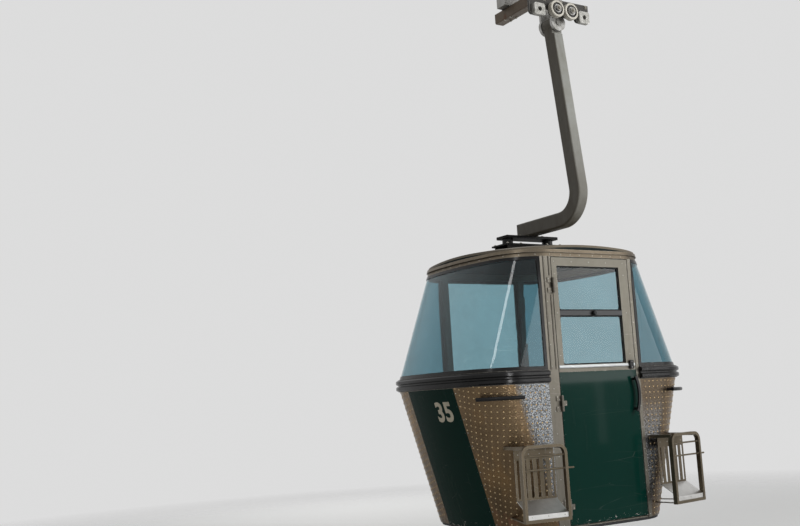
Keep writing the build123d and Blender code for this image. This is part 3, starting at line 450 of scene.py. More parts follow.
# %% Finishes
BARE = (0.34, 0.32, 0.29)
DRAWN = {"grain": "Drawn", "grain_height": 3e-5}
SATIN = {"metal": 1.0, "drift": 0.3, "wear": 0.35, "bare": (0.46, 0.45, 0.42), "runs": 0.45, "corner_shade": 0.5,
         "scratch": 0.3, **DRAWN}
finishes = {
    "green_paint": finish(
        "green_enamel", (0.0012, 0.0225, 0.0152), 0.24, drift=0.20, tint=(0.0010, 0.0168, 0.0128), wear=0.45,
        edge=0.003, bare=BARE, runs=0.25, runs_and_shade_tone=(0.008, 0.014, 0.011), scratch=0.09, scratch_scale=20.0,
        grain_height=2e-5, coat=0.08, coat_rough=0.05, specular=0.03, extra=chipped_foot),
    # The sheet's warm brown is partly a painted reflection of warm surroundings.
    "panel_aluminium": finish(
        "embossed_sheet", (0.190, 0.134, 0.080), 0.36, metal=1.0, drift=0.42, tint=(0.112, 0.074, 0.041),
        runs=0.4, corner_shade=0.3, runs_and_shade_tone=(0.040, 0.028, 0.018), scratch=0.25, grain="Stucco", grain_height=16e-5,
        extra=rolled_sheet),
    "trim_aluminium": finish("satin_trim", (0.160, 0.150, 0.128), 0.36, tint=(0.110, 0.099, 0.080), **SATIN),
    "hanger_paint": finish(
        "hanger_grey", (0.262, 0.268, 0.258), 0.42, drift=0.3, tint=(0.165, 0.155, 0.125), wear=0.45,
        edge=0.005, bare=(0.12, 0.10, 0.085), bare_metal=0.6, runs=0.75, runs_and_shade_tone=(0.075, 0.058, 0.038),
        scratch=0.2, rust=0.12, coat=0.05, specular=0.25, extra=shaded_arm),
    "grip_steel": finish(
        "galvanised_casting", (0.36, 0.355, 0.34), 0.44, metal=0.8, drift=0.45, tint=(0.20, 0.19, 0.17),
        wear=0.5, bare=(0.56, 0.55, 0.53), runs=0.5, corner_shade=0.9, runs_and_shade_tone=(0.022, 0.017, 0.012),
        grain_height=10e-5),
    "black_paint": finish(
        "black_enamel", (0.010, 0.010, 0.011), 0.34, drift=0.2, wear=0.4, edge=0.003,
        bare=(0.16, 0.155, 0.15), runs=0.2, corner_shade=0.3, runs_and_shade_tone=(0.03, 0.027, 0.022), coat=0.05, specular=0.2),
    "roof_paint": finish(
        "roof_bronze", (0.135, 0.114, 0.086), 0.46, metal=0.4, drift=0.4, tint=(0.105, 0.088, 0.064),
        corner_shade=0.4, runs_and_shade_tone=(0.05, 0.040, 0.028), scratch=0.25, specular=0.15, extra=shaded_roof_inside),
    "rack_aluminium": finish(
        "rack_metal", (0.165, 0.138, 0.100), 0.38, metal=1.0, drift=0.35, tint=(0.105, 0.084, 0.056),
        wear=0.5, edge=0.003, bare=(0.46, 0.44, 0.40), runs=0.4, runs_and_shade_tone=(0.040, 0.032, 0.022), scratch=0.5,
        scratch_scale=34.0, **DRAWN),
    "rubber": finish(
        "black_rubber", (0.0055, 0.0055, 0.0060), 0.19, drift=0.35, tint=(0.009, 0.0088, 0.0084), wear=0.2,
        bare=(0.030, 0.029, 0.027), bare_metal=0.0, runs=0.25, corner_shade=0.3, runs_and_shade_tone=(0.024, 0.022, 0.018),
        scratch=0.12, grain_height=3e-5, specular=0.22),
    "floor_mat": finish(
        "floor_rubber", (0.020, 0.020, 0.021), 0.62, drift=0.4, runs=0.2, corner_shade=0.8,
        runs_and_shade_tone=(0.07, 0.06, 0.045), grain_height=8e-5, specular=0.3),
    "bench_board": finish(
        "varnished_board", (0.20, 0.100, 0.042), 0.38, drift=0.5, drift_scale=5.0, tint=(0.12, 0.055, 0.022),
        wear=0.4, bare=(0.34, 0.22, 0.12), bare_metal=0.0, runs=0.0, corner_shade=0.7, scratch=0.25, coat=0.3,
        **DRAWN),
    "seat_vinyl": finish(
        "seat_vinyl", (0.075, 0.046, 0.028), 0.42, drift=0.35, runs=0.0, wear=0.3, edge=0.010,
        bare=(0.15, 0.105, 0.070), bare_metal=0.0, grain_height=8e-5, grain_scale=1.6, specular=0.35),
}
print("finishes:", len(finishes))

# %% [markdown]
# ## Wheels
# A running wheel is one turned piece in the CAD model, but the real one has a pale polymer tread, a
# dark web and a steel hub. Distance from the axle tells them apart, so one material can do all three.

# %% Wheel finish
wheel_low, wheel_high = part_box("front_running_wheel")
AXLE_X, AXLE_Z = (wheel_low.x + wheel_high.x) / 2, (wheel_low.z + wheel_high.z) / 2
TREAD_FROM, HUB_TO = (wheel_high.x - wheel_low.x) / 2 - 0.016, 0.033
RINGS = 5200.0             # turning marks on the hub, in radians a metre


def tread_and_centre(tree, look, gloss, shine, height):
    """Pale polymer tread, a dark web and a turned hub with fine rings."""
    spot = split(tree)
    across, up = spot["X"].maths("ABSOLUTE") - AXLE_X, spot["Z"] - AXLE_Z
    radius = (across * across + up * up).maths("SQRT")
    web = radius.near((TREAD_FROM + HUB_TO) / 2, (TREAD_FROM - HUB_TO) / 2)
    hub = radius < HUB_TO
    rings = (radius * RINGS).maths("SINE")
    turned = mixed(tree, remapped(tree, rings, -1, 1), (0.36, 0.355, 0.34), (0.52, 0.51, 0.49))
    look = mixed(tree, hub, mixed(tree, web, look, (0.030, 0.028, 0.026)), turned)
    return look, gloss, shine.at_least(hub * 0.9), rings * hub * 0.3 + height


finishes["wheel_polymer"] = finish(
    "wheel_tread", (0.50, 0.48, 0.43), 0.42, drift=0.4, tint=(0.36, 0.33, 0.27), runs=0.2, corner_shade=0.8,
    runs_and_shade_tone=(0.05, 0.038, 0.026), grain_height=5e-5, extra=tread_and_centre)
print("tread begins at radius", TREAD_FROM)


# %% [markdown]
# ## Acrylic
# The end windows are sheets of blue-green acrylic bent round the corners; the door's panes are almost
# clear. Both are glass shaders: full transmission, with a tint that the light picks up as it goes
# through. Fine hazing from years of wiping is in the roughness, not in the colour.


# %% Acrylic finish
def acrylic(name, tint, haze):
    """Tinted sheet with wiping haze."""
    material, tree, shader = new_material(name)
    drift = effect(tree, "drift", Scale=2.0, Contrast=0.5)["Mask"]
    scuffs = effect(tree, "scratches", Scale=16.0, Amount=0.5)["Mask"]
    look = mixed(tree, drift, shade_of(tint, 0.90), shade_of(tint, 1.05))
    look = mixed(tree, scuffs, look, (0.9, 0.95, 0.95))
    waves = noise(tree, 5.0, 1.0)
    bump = wire(tree, "ShaderNodeBump", {"Height": waves, "Distance": 0.002, "Strength": 0.12})
    rough = drift * haze + (scuffs * 0.2 + 0.012)
    fill(tree, shader, {"Base Color": look, "Roughness": rough, "Normal": bump, "Transmission Weight": 1.0,
                        "IOR": 1.40})
    return material


finishes["acrylic"] = acrylic("tinted_acrylic", (0.265, 0.46, 0.52), 0.03)
door_pane = acrylic("clear_acrylic", (0.82, 0.90, 0.92), 0.02)
print("acrylic: tinted for the ends, clear for the door")

# %% [markdown]
# ## Dressing the CAD nodes
# The record names a material slot for every node, so most nodes take the finish of their slot. A few
# differ in the photograph: the suspension under the hanger is nearly black, the cross beam of the grip
# is brown with old grease, and the racks' chutes are worn bright.

# %% Finishes that only one or two nodes have
GRIP_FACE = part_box("wheel_carrier")[1].y - 0.020       # outer face of the carrier's plate


def pale_from(start, end, scale, dark, light):
    """Step that turns a casting pale and bright past a depth, as where its paint or grease stops."""
    def step(tree, look, gloss, shine, height):
        there = remapped(tree, split(tree)["Y"], start, end)
        pale = mixed(tree, remapped(tree, noise(tree, scale, 4.0), 0.35, 0.65), dark, light)
        return mixed(tree, there, look, pale), gloss, shine.at_least(there * 0.7), height
    return step


fork_step = pale_from(-0.385, -0.395, 22.0, (0.26, 0.25, 0.23), (0.50, 0.495, 0.48))
lug_step = pale_from(GRIP_FACE - 0.003, GRIP_FACE - 0.008, 30.0, (0.28, 0.275, 0.25), (0.50, 0.49, 0.46))
beam_finish = finish(
    "greasy_beam", (0.125, 0.092, 0.060), 0.44, metal=0.35, drift=0.5, tint=(0.065, 0.045, 0.028), wear=0.6,
    bare=(0.42, 0.40, 0.36), runs=0.6, corner_shade=1.0, runs_and_shade_tone=(0.016, 0.011, 0.008), rust=0.35, grain_height=8e-5,
    extra=fork_step)
carrier_finish = finish(
    "dark_carrier", (0.045, 0.042, 0.038), 0.45, metal=0.3, drift=0.45, wear=0.8, edge=0.006,
    bare=(0.50, 0.48, 0.45), runs=0.4, corner_shade=0.8, runs_and_shade_tone=(0.016, 0.012, 0.009), grain_height=8e-5,
    extra=lug_step)
dark_steel = finish(
    "dark_steel", (0.006, 0.0058, 0.0055), 0.48, drift=0.4, wear=0.4, bare=(0.16, 0.15, 0.14), corner_shade=0.5,
    runs_and_shade_tone=(0.03, 0.024, 0.017), rust=0.15, grain_height=8e-5, specular=0.12)
chute_metal = finish(
    "worn_chute", (0.74, 0.735, 0.72), 0.34, metal=1.0, drift=0.4, tint=(0.46, 0.45, 0.43), runs=0.1,
    corner_shade=0.15, scratch=0.9, scratch_scale=40.0, **DRAWN)
rim_metal = finish(
    "bronzed_rim", (0.165, 0.138, 0.102), 0.38, metal=1.0, drift=0.4, tint=(0.105, 0.084, 0.060), wear=0.5,
    bare=(0.42, 0.39, 0.34), runs=0.5, corner_shade=0.5, scratch=0.3, **DRAWN)
frame_metal = finish(
    "door_frame_metal", (0.145, 0.136, 0.114), 0.36, tint=(0.110, 0.101, 0.083), extra=dark_mid_rail, **SATIN)

SPECIAL = {
    "roof_rim": rim_metal, "grip_beam": beam_finish, "wheel_carrier": carrier_finish,
    "rack_trays": chute_metal, "door_window_frame": frame_metal, "door_glass": door_pane,
    "far_side_window": door_pane, "suspension_crosshead": dark_steel, "roof_bracket": dark_steel,
    "keel_skid": dark_steel}
for part in record["subparts"]:
    mesh = nodes[part["node"]].data
    mesh.materials.clear()
    mesh.materials.append(SPECIAL.get(part["node"]) or finishes[part["material_slot"]])
print("dressed", len(nodes), "nodes")

# %% [markdown]
# ## Growing small pieces
# A cabin like this is held together by some hundreds of rivets and bolts, and its bare sheet carries
# two thousand embossed dots. Nobody places those by hand. A geometry tree takes a simple guide, such as
# a few points or a line, and sets a small shape on every spot. The helpers below start such a tree
# and turn its result into a plain mesh that rides on a body of the cabin.


# %% Helpers for geometry trees
def growing_tree(title, inputs):
    """Empty geometry tree with named inputs: the tree, its inputs and its output node."""
    tree = bpy.data.node_groups.new(title, "GeometryNodeTree")
    tree.interface.new_socket("Guide", in_out="INPUT", socket_type="NodeSocketGeometry")
    for name, value in (*inputs, ("Finish", None)):
        kind = "Material" if value is None else "Int" if isinstance(value, int) else "Float"
        socket = tree.interface.new_socket(name, in_out="INPUT", socket_type="NodeSocket" + kind)
        if value is not None:
            socket.default_value = value
    tree.interface.new_socket("Result", in_out="OUTPUT", socket_type="NodeSocketGeometry")
    return tree, Flow(tree, tree.nodes.new("NodeGroupInput")), tree.nodes.new("NodeGroupOutput")


def joined(tree, x=0.0, y=0.0, z=0.0):
    """Vector of three numbers."""
    return wire(tree, "ShaderNodeCombineXYZ", {0: x, 1: y, 2: z})


def set_on(tree, points, shape, **how):
    """A shape on every point."""
    return wire(tree, "GeometryNodeInstanceOnPoints", {"Points": points, "Instance": shape, **how})


def facing_out(tree):
    """Rotation that turns Z to the outward direction kept on each point."""
    aim = wire(tree, "GeometryNodeInputNamedAttribute", {"Name": "aim"}, data_type="FLOAT_VECTOR")
    return wire(tree, "FunctionNodeAlignRotationToVector", {"Vector": aim}, axis="Z")


def dome(tree, given, segments, rings):
    """Ball squashed to the tree's own Radius and Height."""
    ball = wire(tree, "GeometryNodeMeshUVSphere", {"Segments": segments, "Rings": rings, "Radius": 1.0})
    size = joined(tree, given["Radius"], given["Radius"], given["Height"])
    return wire(tree, "GeometryNodeTransform", {"Geometry": ball, "Scale": size})


def end_tree(tree, given, out, shape, soft=True):
    """Realise the instances, smooth them if soft and give them their material."""
    real = wire(tree, "GeometryNodeRealizeInstances", {0: shape})
    if soft:
        real = wire(tree, "GeometryNodeSetShadeSmooth", {"Geometry": real})
    done = wire(tree, "GeometryNodeSetMaterial", {"Geometry": real, "Material": given["Finish"]})
    fill(tree, out, {0: done})
    return tree


# %% From a tree to a piece
def place_piece(name, mesh, body):
    """Link a finished mesh as a piece of the model."""
    piece = bpy.data.objects.new(name, mesh)
    scene.collection.objects.link(piece)
    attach(piece, body)
    return piece


def applied(thing):
    """Mesh of an object with its modifiers carried out."""
    graph = bpy.context.evaluated_depsgraph_get()
    return bpy.data.meshes.new_from_object(thing.evaluated_get(graph), depsgraph=graph)


def grow(name, tree, guide, body, slot, look, **values):
    """Run a tree on a guide mesh and keep the outcome as a plain mesh."""
    carrier = bpy.data.objects.new(name + "_guide", guide)
    scene.collection.objects.link(carrier)
    modifier = carrier.modifiers.new("grow", "NODES")
    modifier.node_group = tree
    values["Finish"] = look
    for socket in tree.interface.items_tree:
        if socket.in_out == "INPUT" and socket.name in values:
            modifier[socket.identifier] = values[socket.name]
    made = applied(carrier)
    made.name = name
    for attribute in [item for item in made.attributes if item.name == "aim"]:
        made.attributes.remove(attribute)
    bpy.data.objects.remove(carrier)
    print(name, len(made.polygons), "faces")
    return place_piece(name, made, body)


# %% [markdown]
# ## The shape of the body's skin
# Small pieces have to lie on the skin, so the script needs to know where it is. The sheet is flat on the
# sides, runs round each corner on a 0.3 m arc and bows slightly across the end, and above and below the
# belt the ends lean in. One function gives the place and the outward direction for any spot, from the
# distance along the sheet and the height.

# %% Skin of the body
HALF_LENGTH, HALF_WIDTH = 0.980, 0.630
CORNER, BOW = 0.300, 2.200                     # radii of the corners and of the bowed ends
SLOPE_BELOW, SLOPE_ABOVE = 0.300, 0.382
LOWER = (-atan(SLOPE_BELOW), WALL_TOP)         # how the ends lean, and the height where that starts
UPPER = (atan(SLOPE_ABOVE), BELT + 0.030)
BOW_HALF = asin((HALF_WIDTH - CORNER) / (BOW - CORNER))
CORNER_SPAN = (pi / 2 - BOW_HALF) * CORNER
STRIPE_HALF = 0.285


def tangent_line(lean):
    """Where the corner starts, along a section square to the leaning corner."""
    bow_middle = HALF_LENGTH * cos(lean) - BOW
    return bow_middle, bow_middle + sqrt((BOW - CORNER) ** 2 - (HALF_WIDTH - CORNER) ** 2)


def section_spot(lean, across):
    """Point and outward direction on the section, a distance along the sheet from the corner's start."""
    bow_middle, start = tangent_line(lean)
    if across < 0:
        return (start + across, HALF_WIDTH), (0.0, 1.0)
    if across < CORNER_SPAN:
        turn = pi / 2 - across / CORNER
        out = (cos(turn), sin(turn))
        return (start + CORNER * out[0], HALF_WIDTH - CORNER + CORNER * out[1]), out
    turn = BOW_HALF - (across - CORNER_SPAN) / BOW
    out = (cos(turn), sin(turn))
    return (bow_middle + BOW * out[0], BOW * out[1]), out


def across_at(y):
    """Distance along the sheet to a spot on the bowed end, y from the middle."""
    return CORNER_SPAN + BOW * (BOW_HALF - asin(y / BOW))


def skin(zone, end, side, across, height, proud=0.0):
    """Place and outward direction on the skin, at a height."""
    lean, base = zone
    (u, v), (out_u, out_v) = section_spot(lean, across)
    place = Vector((end * (u / cos(lean) - (height - base) * sin(lean) / cos(lean)), side * v, height))
    aim = Vector((end * out_u * cos(lean), side * out_v, out_u * sin(lean)))
    return place + aim * proud, aim


print("corner starts", round(tangent_line(LOWER[0])[1] / cos(LOWER[0]), 3), "m from the middle")

# %% [markdown]
# ## Embossed dots
# The bare panels are sheet with a square grid of pressed dots, 40 mm apart. The grid was pressed while
# the sheet was flat, so its columns stay upright on the sides but slant on the ends, as wallpaper does
# on a cone. The tree does the same: it lays out a flat grid, measures each dot's distance along the
# sheet, reads the place there from a guide curve, and drops what lies past the panel's edges.


# %% Tree that wraps a grid of dots round a corner
FIRST_COLUMN, FIRST_ROW = 0.34, 0.018          # from the cabin's middle, and below the wall's top


def make_dot_tree():
    """Grid, wrapped along a guide curve, then one low dome on each point."""
    tree, given, out = growing_tree("embossed_dots", [
        ("Pitch", 0.04), ("Columns", 27), ("Rows", 24), ("Radius", 0.0072), ("Height", 0.0027), ("Lean", 0.0),
        ("Base", 0.0), ("End", 1.0), ("Side", 1.0), ("Flat", 0.5), ("Tangent", 0.6), ("Nearest", 0.35),
        ("Stripe", 0.3)])
    end, side = given["End"], given["Side"]
    width, depth = ((given[count] - 1.0) * given["Pitch"] for count in ("Columns", "Rows"))
    grid = wire(tree, "GeometryNodeMeshGrid", {
        "Size X": width, "Size Y": depth, "Vertices X": given["Columns"], "Vertices Y": given["Rows"]})
    spot = split(tree, wire(tree, "GeometryNodeInputPosition"))
    x = spot["X"] + (width * 0.5 + FIRST_COLUMN)
    z = spot["Y"] - (depth * 0.5 + FIRST_ROW)
    cosine, sine = given["Lean"].maths("COSINE"), given["Lean"].maths("SINE")
    u, w = x * cosine + z * sine, z * cosine - x * sine
    curve = wire(tree, "GeometryNodeMeshToCurve", {"Mesh": given["Guide"]})
    length = u - given["Tangent"] + given["Flat"]
    found = wire(tree, "GeometryNodeSampleCurve", {"Curves": curve, "Length": length}, mode="LENGTH",
                 use_all_curves=True)
    at, way = split(tree, found["Position"]), split(tree, found["Tangent"])
    out_u, out_v = way["Y"] * -1.0, way["X"]
    aim = joined(tree, end * out_u * cosine, side * out_v, out_u * sine)
    place = joined(tree, end * (at["X"] * cosine - w * sine), side * at["Y"],
                   at["X"] * sine + w * cosine + given["Base"])
    aimed = wire(tree, "GeometryNodeStoreNamedAttribute", {"Geometry": grid, "Name": "aim", "Value": aim},
                 data_type="FLOAT_VECTOR", domain="POINT")
    moved = wire(tree, "GeometryNodeSetPosition", {"Geometry": aimed, "Position": place})
    now = split(tree, wire(tree, "GeometryNodeInputPosition"))
    past_post, past_stripe = (now[axis].maths("ABSOLUTE") < given[limit]
                              for axis, limit in (("X", "Nearest"), ("Y", "Stripe")))
    kept = wire(tree, "GeometryNodeDeleteGeometry", {
        "Geometry": moved, "Selection": past_post.at_least(past_stripe)}, domain="POINT", mode="ALL")
    return end_tree(tree, given, out, set_on(tree, kept, dome(tree, given, 8, 4), Rotation=facing_out(tree)))


# %% Dots on the four bare panels
FLAT_RUN, ARC_STEPS = 0.50, 40
guide_runs = [-FLAT_RUN, *(CORNER_SPAN * step / ARC_STEPS for step in range(ARC_STEPS + 1)), across_at(0.33),
              across_at(0.25)]
guide_points = [(*section_spot(LOWER[0], run)[0], 0.0) for run in guide_runs]
corner_guide = bpy.data.meshes.new("corner_guide")
corner_guide.from_pydata(guide_points, [(n, n + 1) for n in range(len(guide_points) - 1)], [])

# The dots' tops are lighter and more golden than the sheet: a painted highlight.
glinting_dot_metal = finish(
    "glinting_dot_tops", (0.50, 0.37, 0.20), 0.24, metal=1.0, drift=0.35, tint=(0.34, 0.26, 0.165), runs=0.4,
    corner_shade=0.0, runs_and_shade_tone=(0.06, 0.045, 0.03), grain_height=2e-5)
dot_tree = make_dot_tree()
for end, side, nearest, panel in ((-1, -1, 0.430, "rear_door_side"), (1, -1, 0.428, "front_door_side"),
                                  (-1, 1, 0.362, "rear_far_side"), (1, 1, 0.362, "front_far_side")):
    grow(panel + "_dots", dot_tree, corner_guide, "cabin", "panel_aluminium", glinting_dot_metal, Lean=LOWER[0],
         Base=WALL_TOP, End=float(end), Side=float(side), Flat=FLAT_RUN, Tangent=tangent_line(LOWER[0])[1],
         Nearest=nearest, Stripe=STRIPE_HALF + 0.012)

# %% [markdown]
# ## Rivets, screws and bolts
# Every fixing is one of two shapes, a low dome or a six-sided head on its washer. The tree sets the
# shape on each guide point and turns it to the direction stored there; bolts also get a spin of their
# own from a fixed seed, since no fitter lines them up.


# %% Trees for fixings
def make_dome_tree():
    """Low dome on each point, half sunk into the sheet."""
    tree, given, out = growing_tree("dome_heads", [("Radius", 0.004), ("Height", 0.0018)])
    heads = set_on(tree, given["Guide"], dome(tree, given, 10, 6), Rotation=facing_out(tree))
    return end_tree(tree, given, out, heads)


def make_bolt_tree():
    """Washer, six-sided head and the bolt's end, set on each point with a random spin."""
    tree, given, out = growing_tree("bolt_heads", [("Radius", 0.010), ("Height", 0.007), ("Seed", 7)])
    join = Flow(tree, tree.nodes.new("GeometryNodeJoinGeometry"))
    for sides, wide, low, high in ((18, 1.5, -0.2, 0.22), (6, 1.0, 0.18, 1.0), (12, 0.55, 0.9, 1.35)):
        drum = wire(tree, "GeometryNodeMeshCylinder", {
            "Vertices": sides, "Radius": given["Radius"] * wide, "Depth": given["Height"] * (high - low)})
        lift = joined(tree, z=given["Height"] * ((high + low) / 2))
        raised = wire(tree, "GeometryNodeTransform", {"Geometry": drum, "Translation": lift})
        fill(tree, join.node, {0: raised})
    spin = wire(tree, "FunctionNodeRandomValue", {2: 0.0, 3: pi / 3, 8: given["Seed"]}, data_type="FLOAT")[1]
    twist = wire(tree, "FunctionNodeAxisAngleToRotation", {"Axis": (0.0, 0.0, 1.0), "Angle": spin})
    both = wire(tree, "FunctionNodeRotateRotation", {0: facing_out(tree), 1: twist}, rotation_space="LOCAL")
    return end_tree(tree, given, out, set_on(tree, given["Guide"], join, Rotation=both), soft=False)


def spots_mesh(name, spots):
    """Guide mesh of loose points, each with its outward direction."""
    mesh = bpy.data.meshes.new(name)
    mesh.from_pydata([tuple(place) for place, _ in spots], [], [])
    aims = mesh.attributes.new("aim", "FLOAT_VECTOR", "POINT")
    aims.data.foreach_set("vector", [part for _, aim in spots for part in aim])
    return mesh


def fix(name, tree, places, body, slot, look, radius, height, **more):
    """Set heads of one size on a list of spots."""
    guide = spots_mesh(name + "_spots", places)
    return grow(name, tree, guide, body, slot, look, Radius=radius, Height=height, **more)


def evenly(first, last, pitch):
    """Numbers from first to last with a spacing close to the pitch."""
    count = max(1, round(abs(last - first) / pitch))
    return [first + (last - first) * step / count for step in range(count + 1)]


dome_tree, bolt_tree = make_dome_tree(), make_bolt_tree()
rivet_metal = finish(
    "rivet_metal", (0.46, 0.445, 0.41), 0.34, metal=1.0, drift=0.4, runs=0.2, corner_shade=1.0,
    runs_and_shade_tone=(0.05, 0.04, 0.03), grain_height=2e-5)
green_rivet = finish(
    "painted_rivets", (0.0026, 0.036, 0.026), 0.30, drift=0.2, wear=0.7, edge=0.002, bare=BARE, corner_shade=0.8,
    runs_and_shade_tone=(0.008, 0.014, 0.011), grain_height=2e-5, specular=0.16)
bolt_metal = finish(
    "zinc_bolts", (0.40, 0.39, 0.35), 0.38, metal=1.0, drift=0.5, tint=(0.24, 0.215, 0.17), wear=0.4,
    edge=0.001, bare=(0.6, 0.59, 0.57), corner_shade=0.8, runs_and_shade_tone=(0.04, 0.03, 0.02), rust=0.25, grain_height=3e-5)

# %% Rivets of the stripe panels
DOOR_X = (-0.320, 0.380)
POSTS = ((-0.418, -0.326), (0.386, 0.416))
QUARTERS = [(end, side) for end in (-1, 1) for side in (-1, 1)]
RIM_LINE = BELT + 0.814
SEAM = across_at(STRIPE_HALF + 0.014)
side_out = Vector((0, -1, 0))


def on_side(x, height, proud=0.0):
    """Spot on the flat door side."""
    return Vector((x, -HALF_WIDTH - proud, height)), side_out


RIVET, SCREW = (0.0042, 0.0019), (0.0038, 0.0016)     # radius and height of a head
seam_heights = evenly(WALL_TOP - 0.035, WALL_FOOT + 0.035, 0.085)
stripe_spots = [skin(LOWER, end, side, across_at(STRIPE_HALF - 0.014), height)
                for end, side in QUARTERS for height in seam_heights]
fix("stripe_rivets", dome_tree, stripe_spots, "cabin", "green_paint", green_rivet, *RIVET)

# %% Rivets of the bare panels, the posts and the roof rim
bare_spots = []
for end, side in QUARTERS:
    bare_spots += [skin(LOWER, end, side, SEAM, height) for height in seam_heights]
    bare_spots += [skin(LOWER, end, side, across, WALL_FOOT + 0.016)
                   for across in evenly(0.02, SEAM - 0.05, 0.085)]
for x0, x1 in POSTS:
    middle = (x0 + x1) / 2 - (0.007 if x0 < 0 else 0)
    heights = evenly(BELT + 0.05, RIM_FOOT - 0.02, 0.15) + evenly(WALL_TOP - 0.04, WALL_FOOT + 0.02, 0.155)
    bare_spots += [on_side(middle, height) for height in heights]
for end, side in QUARTERS:
    start = tangent_line(UPPER[0])[1] / cos(UPPER[0]) - (RIM_LINE - UPPER[1]) * SLOPE_ABOVE
    bare_spots += [skin(UPPER, end, side, across, RIM_LINE) for across in evenly(0.0, across_at(0.06), 0.11)]
    bare_spots += [(Vector((end * x, side * HALF_WIDTH, RIM_LINE)), Vector((0, side, 0)))
                   for x in evenly(0.06, start - 0.1, 0.11)]
fix("panel_rivets", dome_tree, bare_spots, "cabin", "panel_aluminium", rivet_metal, 0.0042, 0.0020)

# %% Rivets and screws of the door
door_spots = [on_side(x, height) for height in evenly(BELT - 0.03, BELT - 0.97, 0.094)
              for x in (DOOR_X[0] + 0.011, DOOR_X[1] - 0.011)]
door_spots += [on_side(x, BELT - 0.985) for x in evenly(DOOR_X[0] + 0.06, DOOR_X[1] - 0.06, 0.116)]
fix("door_rivets", dome_tree, door_spots, "door", "green_paint", green_rivet, *RIVET)

HINGE_X, HINGE_HEIGHTS = DOOR_X[0] - 0.003, (0.600, -0.200, -0.880)
frame_spots, leaf_spots = [], []
for height in HINGE_HEIGHTS:
    for level in (-0.009, 0.009):
        frame_spots.append(on_side(HINGE_X + 0.027 - level, BELT + height + level, 0.005))
        leaf_spots += [on_side(HINGE_X - 0.027 - level, BELT + height + knuckle + level, 0.005)
                       for knuckle in (-0.035, 0.035)]
FRAME_X = (DOOR_X[0] + 0.022, DOOR_X[1] - 0.042)
frame_spots += [on_side(x, BELT + height) for x in FRAME_X for height in (0.12, 0.41, 0.68)]
frame_spots += [on_side(x, BELT + 0.766) for x in evenly(*FRAME_X, 0.16)]
frame_spots += [on_side(0.338, BELT + height, 0.014) for height in (0.024, 0.064)]
fix("door_screws", dome_tree, frame_spots, "door", "trim_aluminium", rivet_metal, *SCREW)
fix("hinge_screws", dome_tree, leaf_spots, "cabin", "trim_aluminium", rivet_metal, *SCREW)

# %% Bolts of the suspension and the grip
BEAM_MIDDLE = -0.150
BEAM_UNDER = BEAM_MIDDLE - 0.042
up, down = Vector((0, 0, 1)), Vector((0, 0, -1))
cross_top, bracket_top = (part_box(node)[1].z for node in ("suspension_crosshead", "roof_bracket"))
beam_end, carrier_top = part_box("grip_beam")[1].y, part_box("wheel_carrier")[1].z
axle_tip, arm_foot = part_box("wheel_axles")[0].y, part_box("hanger_arm")[0].z


def spots(xs, ys, zs, aim):
    """A spot at every crossing of the given X, Y and Z, all facing one way."""
    return [(Vector((x, y, z)), aim) for x in xs for y in ys for z in zs]


def bolt(name, places, body, radius, height, **more):
    """Zinc bolts on a list of spots."""
    fix(name, bolt_tree, places, body, "grip_steel", bolt_metal, radius, height, **more)


bolt("buffer_bolts", spots((-0.19, 0.19), (0,), (cross_top,), up), "cabin", 0.0155, 0.011)
bolt("bracket_bolts", spots((-0.250, -0.125, 0.125, 0.250), (-0.076, 0.076), (bracket_top,), up)
     + spots((-0.105, 0.105), (-0.048, 0.048), (cross_top,), up), "cabin", 0.0095, 0.007)
bolt("grip_bolts", spots((-0.255, -0.135, -0.022, 0.022, 0.135, 0.255), (GRIP_FACE,),
                         (carrier_top - 0.016,), side_out)
     + spots((-0.024, 0.024), (-0.034, 0.034), (BEAM_UNDER,), down)
     + spots((-0.022, 0.022), (beam_end,), (BEAM_MIDDLE - 0.022, BEAM_MIDDLE + 0.022), Vector((0, 1, 0))),
     "grip", 0.0085, 0.0065, Seed=3)
bolt("axle_nuts", spots((-AXLE_X, AXLE_X), (axle_tip,), (AXLE_Z,), side_out)
     + [(Vector((side * 0.059, -0.086, -0.014)), Vector((side, 0, 0))) for side in (-1, 1)],
     "grip", 0.0115, 0.008, Seed=5)

# %% [markdown]
# ## Weld beads
# A weld is a row of overlapping puddles. The tree walks along a guide line in steps of a few
# millimetres and leaves a flattened ball at each, which is just what the welder did.


# %% Tree for weld beads
def make_weld_tree():
    """Flattened balls in close steps along every line of the guide."""
    tree, given, out = growing_tree("weld_beads", [("Step", 0.0045), ("Radius", 0.0042)])
    curve = wire(tree, "GeometryNodeMeshToCurve", {"Mesh": given["Guide"]})
    walked = wire(tree, "GeometryNodeResampleCurve", {"Curve": curve, "Length": given["Step"]}, mode="LENGTH")
    ball = wire(tree, "GeometryNodeMeshIcoSphere", {"Radius": given["Radius"], "Subdivisions": 1})
    wobble = wire(tree, "FunctionNodeRandomValue", {2: 0.85, 3: 1.15, 8: 11}, data_type="FLOAT")[1]
    return end_tree(tree, given, out, set_on(tree, walked, ball, Scale=wobble))


weld_tree = make_weld_tree()


def weld(name, runs, body, slot, **values):
    """Beads along separate lines; each run is a list of points."""
    points, edges = [], []
    for run in runs:
        edges += [(len(points) + n, len(points) + n + 1) for n in range(len(run) - 1)]
        points += [tuple(point) for point in run]
    mesh = bpy.data.meshes.new(name + "_runs")
    mesh.from_pydata(points, edges, [])
    grow(name, weld_tree, mesh, body, slot, finishes[slot], **values)


